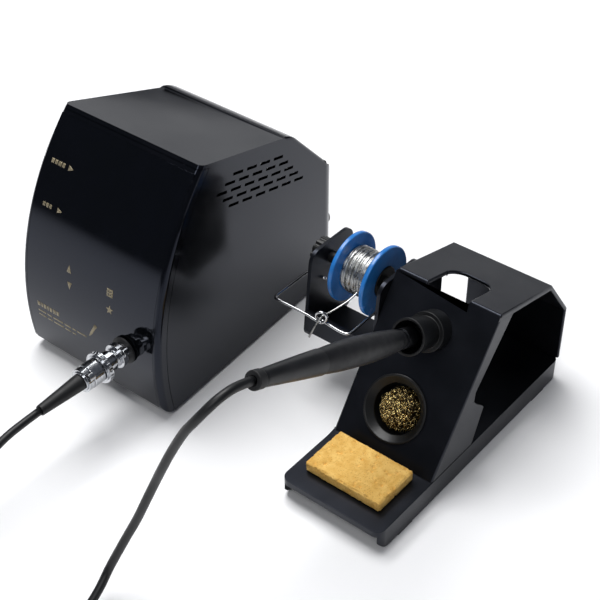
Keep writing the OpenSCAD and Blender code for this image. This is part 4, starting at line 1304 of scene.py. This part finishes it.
@dataclass
class BrassWool:
    """The ball of curled brass shavings in the cup, on the sloping plate."""

    side: float = -3.5
    up: float = 29.2
    stand_x: float = 107.858
    foot_y: float = -16.34
    tray_z: float = 16.3
    lean: float = 55.4
    ball: float = 15.2
    sunk: float = -11.0
    strands: int = 230
    points: int = 64

    def on_plate(self, local: np.ndarray) -> np.ndarray:
        """Moves places from the sloping plate to the station's frame.

        Args:
            local: How far each place is to the right, up the plate and out of it, in millimetres.

        Returns:
            The places in metres.
        """
        lean = math.radians(self.lean)
        right = np.array((1.0, 0.0, 0.0))
        rise = np.array((0.0, math.cos(lean), math.sin(lean)))
        out = np.array((0.0, -math.sin(lean), math.cos(lean)))
        origin = np.array((self.stand_x, self.foot_y, self.tray_z))
        shifted = local + np.array((self.side, self.up, 0.0))
        return (origin + shifted @ np.stack([right, rise, out])) * MM

    def build(self) -> None:
        """Makes the dark middle and the shavings over it."""
        core = make_piece("wool_core", self.core(), BRASS_CORE)
        settle(core, Body.WOOL, ("brass_wool",))
        shavings = make_piece("wool_shavings", self.shavings(), BRASS_SHAVINGS, merge=0)
        settle(shavings, Body.WOOL)

    def core(self) -> Surface:
        """A lumpy dome: a ball of radius R - 3 plus noise, cut flat over the cup's bottom.

        Returns:
            The vertices and the lists of faces.
        """
        rings, sides = 41, 64
        down = np.linspace(0, math.pi, rings)
        round_it = np.linspace(0, 2 * math.pi, sides + 1)[:-1]
        polar, turn = np.meshgrid(down, round_it, indexing="ij")
        flat = np.stack(
            [np.sin(polar) * np.cos(turn), np.sin(polar) * np.sin(turn), np.cos(polar)], axis=-1
        ).reshape(-1, 3)
        reach = self.ball - 3.0 + 1.3 * lattice_noise(flat * 10 + 40, 3.0, 21)
        places = flat * reach[:, None]
        places[:, 2] = np.maximum(places[:, 2] + self.sunk, -12.9)
        return self.on_plate(places), [quads(rings, sides, True)]

    def shavings(self) -> Surface:
        """Curled ribbons: each is a small coil wound round a short arc near the ball's surface.

        The arc turns about a random axis at a random reach, and the coil adds a curl of 0.7 to
        1.7 mm about it, two to five times. The ribbon's section is a flat bar of four points. All
        of it is then pulled inside the cup's bore, and kept off its bottom and under its rim.

        Returns:
            The vertices and the lists of faces.
        """
        draw = np.random.default_rng(17)
        count, steps = self.strands, self.points
        t = np.linspace(0, 1, steps)[None, :]
        spread, lift = np.array((1, 1, 0.8)), np.array((0, 0, 0.75))
        pole = unit_rows(draw.normal(size=(count, 3)) * spread + lift)
        side = unit_rows(np.cross(pole, draw.normal(size=(count, 3))))
        arc = draw.uniform(0.4, 1.4, (count, 1)) * (t - 0.5)
        reach = draw.uniform(self.ball - 3.4, self.ball - 1.2, (count, 1))
        way = pole[:, None] * np.cos(arc)[..., None] + side[:, None] * np.sin(arc)[..., None]
        other = np.cross(way, np.cross(pole, side)[:, None])
        across = np.cross(pole, side)[:, None] * np.ones_like(way)
        size = draw.uniform(0.7, 1.7, (count, 1))
        curl = size * (0.7 + 0.3 * np.sin(9 * t + draw.uniform(0, 6, (count, 1))))
        wind = draw.uniform(0, 6.3, (count, 1)) + 2 * math.pi * draw.uniform(2, 5, (count, 1)) * t
        middle = way * reach[..., None] + curl[..., None] * (
            np.cos(wind)[..., None] * way + np.sin(wind)[..., None] * across
        )
        heading = unit_rows(np.gradient(middle, axis=1))
        wide = unit_rows(np.cos(wind)[..., None] * across + 0.6 * other)
        wide = unit_rows(wide - heading * (wide * heading).sum(axis=-1, keepdims=True))
        thin = np.cross(heading, wide)
        half = draw.uniform(0.16, 0.34, (count, 1, 1))
        corners = [(half, 0.035), (-half, 0.035), (-half, -0.035), (half, -0.035)]
        rings = np.stack([middle + a * wide + b * thin for a, b in corners], axis=2)
        rings[..., 2] += self.sunk
        level = np.linalg.norm(rings[..., :2], axis=-1, keepdims=True)
        bore = self.ball - 0.3
        rings[..., :2] *= np.minimum(1, bore / np.maximum(level, 1e-9))
        rings[..., 2] = np.clip(rings[..., 2], -12.8, 4.8)
        faces = quads(steps, 4, True)
        starts = (np.arange(count) * steps * 4)[:, None, None]
        ends = np.array([[0, 1, 2, 3], [3, 2, 1, 0]])
        ends[1] += (steps - 1) * 4
        every = [(part[None] + starts).reshape(-1, 4) for part in (faces, ends)]
        return self.on_plate(rings.reshape(-1, 3)), every


# ---- Spool holder --------------------------------------------------------------------------


@dataclass
class SpoolHolder:
    """The bracket, its spindle and knob, the blue spool with solder, and the wire guide."""

    axis_y: float = 45.661
    axis_z: float = 87.0
    left: float = 34.76
    width: float = 26.5
    flange: float = 3.0
    wound: float = 15.5
    wire: float = 0.9
    ear_x: float = 17.96
    wall_x: float = 71.858
    pivot_y: float = 37.66
    pivot_z: float = 75.0
    guide_y: float = 3.16
    eye_radius: float = 3.6
    strand: float = 0.6

    def build(self, frame: Frame) -> None:
        """Dresses the bracket and makes the solder and the guide.

        Args:
            frame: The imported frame.
        """
        frame.refine("spool_bracket", Body.BASE, SATIN_SHELL, 0.4, 3)
        frame.refine("spool_shaft", Body.BASE, PLAIN_ABS, 0.3)
        frame.refine("shaft_knob", Body.KNOB, PLAIN_ABS, 0.4)
        frame.refine("spool", Body.SPOOL, BLUE_STYRENE, 0.7, 3)
        self.winding()
        self.guide()
        self.loose_end()

    def winding(self) -> None:
        """The wound solder: close turns of wire, with a few slanting turns over them.

        Along turn n the wire's X is its start plus the pitch times n, and Y and Z run round the
        axis at the wound radius less the wire's.
        """
        first = self.left + self.flange + self.strand
        last = self.left + self.width - self.flange - self.strand
        rest = self.wound - self.strand
        parts = []
        for start, end, turns, reach in (
            (first, last, (last - first) / (2.02 * self.strand), rest - 0.75),
            (first + 1.0, last - 2.0, 4.6, rest - 0.05),
            (last - 0.5, first + 2.0, 3.4, rest - 0.1),
        ):
            n = np.linspace(0, turns, int(turns * 40))
            x = start + (end - start) * n / turns + 0.25 * np.sin(n * 2.3)
            x = np.clip(x, first, last)
            line = np.stack(
                [
                    x,
                    self.axis_y + reach * np.cos(2 * math.pi * n),
                    self.axis_z + reach * np.sin(2 * math.pi * n),
                ],
                axis=1,
            )
            parts.append(sweep(line * MM, self.strand * MM, 8, (1.0, 0.0, 0.0)))
        wire = make_piece("wound_solder", join(parts), SOLDER, merge=0)
        settle(wire, Body.SPOOL, ("winding",))
        profile = np.array([[11.6, 0.0], [rest - 0.9, 0.0], [rest - 0.9, 1.0], [11.6, 1.0]])
        profile[:, 1] *= self.width - 2 * self.flange
        origin = np.array((self.left + self.flange, self.axis_y, self.axis_z)) * MM
        profile = np.vstack([profile, profile[:1]]) * MM
        along = np.array((1.0, 0.0, 0.0))
        core = make_piece("inner_solder", revolve(profile, origin, along, 64), SOLDER, crease=40)
        settle(core, Body.SPOOL)

    def guide(self) -> None:
        """The bail: a wire bent at four corners, with one turn of an eye at the front."""
        left, right = self.ear_x - 9, self.wall_x - 6
        eye = left + 37
        turn = math.radians(25)
        lap = np.linspace(0, 2 * math.pi, 33)
        out = self.eye_radius * np.sin(lap)
        drift = 2.0 * (lap / (2 * math.pi) - 0.5)
        loop = np.stack(
            [
                eye + out * math.cos(turn),
                self.guide_y + out * math.sin(turn) + drift,
                self.pivot_z + self.eye_radius * (1 - np.cos(lap)),
            ],
            axis=1,
        )
        before = [
            (self.ear_x + 4.4, self.pivot_y, self.pivot_z),
            (left + 4, self.pivot_y, self.pivot_z),
            (left + 1.1, self.pivot_y - 0.8, self.pivot_z),
            (left, self.pivot_y - 3.6, self.pivot_z),
            (left, (self.pivot_y + self.guide_y) / 2, self.pivot_z),
            (left, self.guide_y + 4, self.pivot_z),
            (left + 0.9, self.guide_y + 1.1, self.pivot_z),
            (left + 3.8, self.guide_y, self.pivot_z),
            (eye - 14, self.guide_y, self.pivot_z),
            (eye - 5, self.guide_y - 0.7, self.pivot_z),
        ]
        after = [
            (eye + 5, self.guide_y + 0.7, self.pivot_z),
            (eye + 12, self.guide_y, self.pivot_z),
            (right - 3.8, self.guide_y, self.pivot_z),
            (right - 0.9, self.guide_y + 1.1, self.pivot_z),
            (right, self.guide_y + 4, self.pivot_z),
            (right, (self.pivot_y + self.guide_y) / 2, self.pivot_z),
            (right, self.pivot_y - 3.6, self.pivot_z),
            (right + 1.1, self.pivot_y - 0.8, self.pivot_z),
            (right + 3.5, self.pivot_y, self.pivot_z),
            (self.wall_x - 0.3, self.pivot_y, self.pivot_z),
        ]
        path = smooth_path(np.vstack([before, loop, after]) * MM, 4)
        tube = sweep(path, self.wire * MM, 12, (0.4, 0.8, 0.45))
        bail = make_piece("wire_guide", tube, WIRE_STEEL, merge=0)
        settle(bail, Body.GUIDE, ("guide_bail",))

    def loose_end(self) -> None:
        """The solder's loose end, from the winding through the eye, with a slight curl."""
        eye = np.array((self.ear_x + 28, self.guide_y, self.pivot_z + self.eye_radius))
        start = np.array(
            (self.left + self.width - 8, self.axis_y - self.wound - 0.9, self.axis_z - 2)
        )
        points = np.array(
            [
                start,
                start + 0.3 * (eye - start) + np.array((0.6, 0, -1.0)),
                start + 0.7 * (eye - start) + np.array((0.3, 0, -0.8)),
                eye,
                eye + np.array((-1.4, -3.6, -4.6)),
                eye + np.array((-3, -8, -12)),
            ]
        )
        path = smooth_path(points * MM, 8)
        tube = sweep(path, self.strand * MM, 10, (1.0, 0.2, 0.0))
        strand = make_piece("solder_end", tube, SOLDER, merge=0)
        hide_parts("solder_strand")
        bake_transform(strand)


# ---- Iron ----------------------------------------------------------------------------------


@dataclass
class Iron:
    """The iron in its holder: handle, soft sleeve, collar, steel barrel and tip."""

    nose: tuple[float, float, float] = (107.858, -5.039, 99.8)
    lean: float = 24.5
    length: float = 137.0
    grip: float = 81.0
    widest: float = 8.4
    seam: float = 7.2
    tail_radius: float = 4.7
    collar: float = 6.0

    def axis(self) -> np.ndarray:
        """The direction from the tail towards the tip."""
        lean = math.radians(self.lean)
        return np.array((0.0, math.cos(lean), -math.sin(lean)))

    def build(self, frame: Frame) -> None:
        """Makes the handle and the sleeve, and dresses the metal.

        Args:
            frame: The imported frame.
        """
        self.handle()
        self.sleeve()
        frame.refine("tail_boot", Body.IRON, RUBBER, 0.5, 3)
        frame.refine("barrel_nut", Body.IRON, BURNISHED_NUT, 0.2)
        frame.refine("barrel", Body.IRON, BARREL_STEEL, 0.2)
        frame.refine("tip", Body.IRON, TIP_PLATE, 0.1)

    def handle(self) -> None:
        """The tapered handle: its radius grows along a slow curve from the tail to the seam."""
        h = np.linspace(-self.length + self.collar, -self.grip, 40)
        u = (h - h[0]) / (h[-1] - h[0])
        r = self.tail_radius + (self.seam - self.tail_radius) * (1.12 * u - 0.12 * u**3)
        profile = np.vstack(
            [
                [[2.52, h[0]], [self.tail_radius - 0.4, h[0]]],
                np.stack([r, h], axis=1)[1:],
                [[5.25, -self.grip], [5.25, -0.6], [0.0, -0.6]],
                [[0.0, h[0] + 24], [2.52, h[0] + 24], [2.52, h[0]]],
            ]
        )
        surface = revolve(profile * MM, np.array(self.nose) * MM, self.axis(), 64)
        handle = make_piece("handle_body", surface, HANDLE_NYLON, crease=40)
        settle(handle, Body.IRON, ("handle",))

    def sleeve(self) -> None:
        """The soft sleeve: a slow swell along its length, a rounded nose, and shallow lumps.

        The radius is the seam's plus the rest of the swell times sin(pi u) to a power, less a
        quarter circle at the nose. Lattice noise adds up to 0.12 mm.
        """
        h = np.linspace(-self.grip, -7.0, 90)
        r = self.widest - (h + self.grip / 2 + 4) ** 2 / 800.0
        bend = np.linspace(0, math.pi / 2, 14)[1:]
        end = r[-1]
        nose = np.stack([end - 3.2 * (1 - np.cos(bend)), -7.0 + 6.6 * np.sin(bend)], axis=1)
        outer = np.vstack([np.stack([r, h], axis=1), nose])
        profile = np.vstack([outer, [[5.3, -0.4], [5.3, -self.grip], [r[0], -self.grip]]])
        sides = 96
        angle = 2 * math.pi * np.arange(sides) / sides
        hh, aa = np.meshgrid(profile[:, 1], angle, indexing="ij")
        places = np.stack([8 * np.cos(aa), 8 * np.sin(aa), hh], axis=-1).reshape(-1, 3)
        lumps = lattice_noise(places + 200, 9.0, 31) * 0.14
        lumps += lattice_noise(places + 200, 3.5, 32) * 0.05
        swell = lumps.reshape(hh.shape) - 0.08
        swell[len(outer) - 2 :] = 0.0
        origin = np.array(self.nose) * MM
        surface = revolve(profile * MM, origin, self.axis(), sides, swell * MM)
        sleeve = make_piece("grip_sleeve", surface, GRIP_SLEEVE, crease=50)
        settle(sleeve, Body.IRON, ("grip",))


def main() -> None:
    """Builds the station around its frame."""
    logging.basicConfig(level=logging.INFO, format="%(name)s: %(message)s")
    frame = Frame(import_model()["nodes"])
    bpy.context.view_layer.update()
    studio = Studio()
    studio.camera()
    IronCord().build(frame)
    studio.light()
    studio.floor()
    ControlUnit().build(frame)
    Stand().build(frame)
    CleaningSponge().build(frame)
    BrassWool().build()
    SpoolHolder().build(frame)
    Iron().build(frame)


if __name__ == "__main__":
    main()
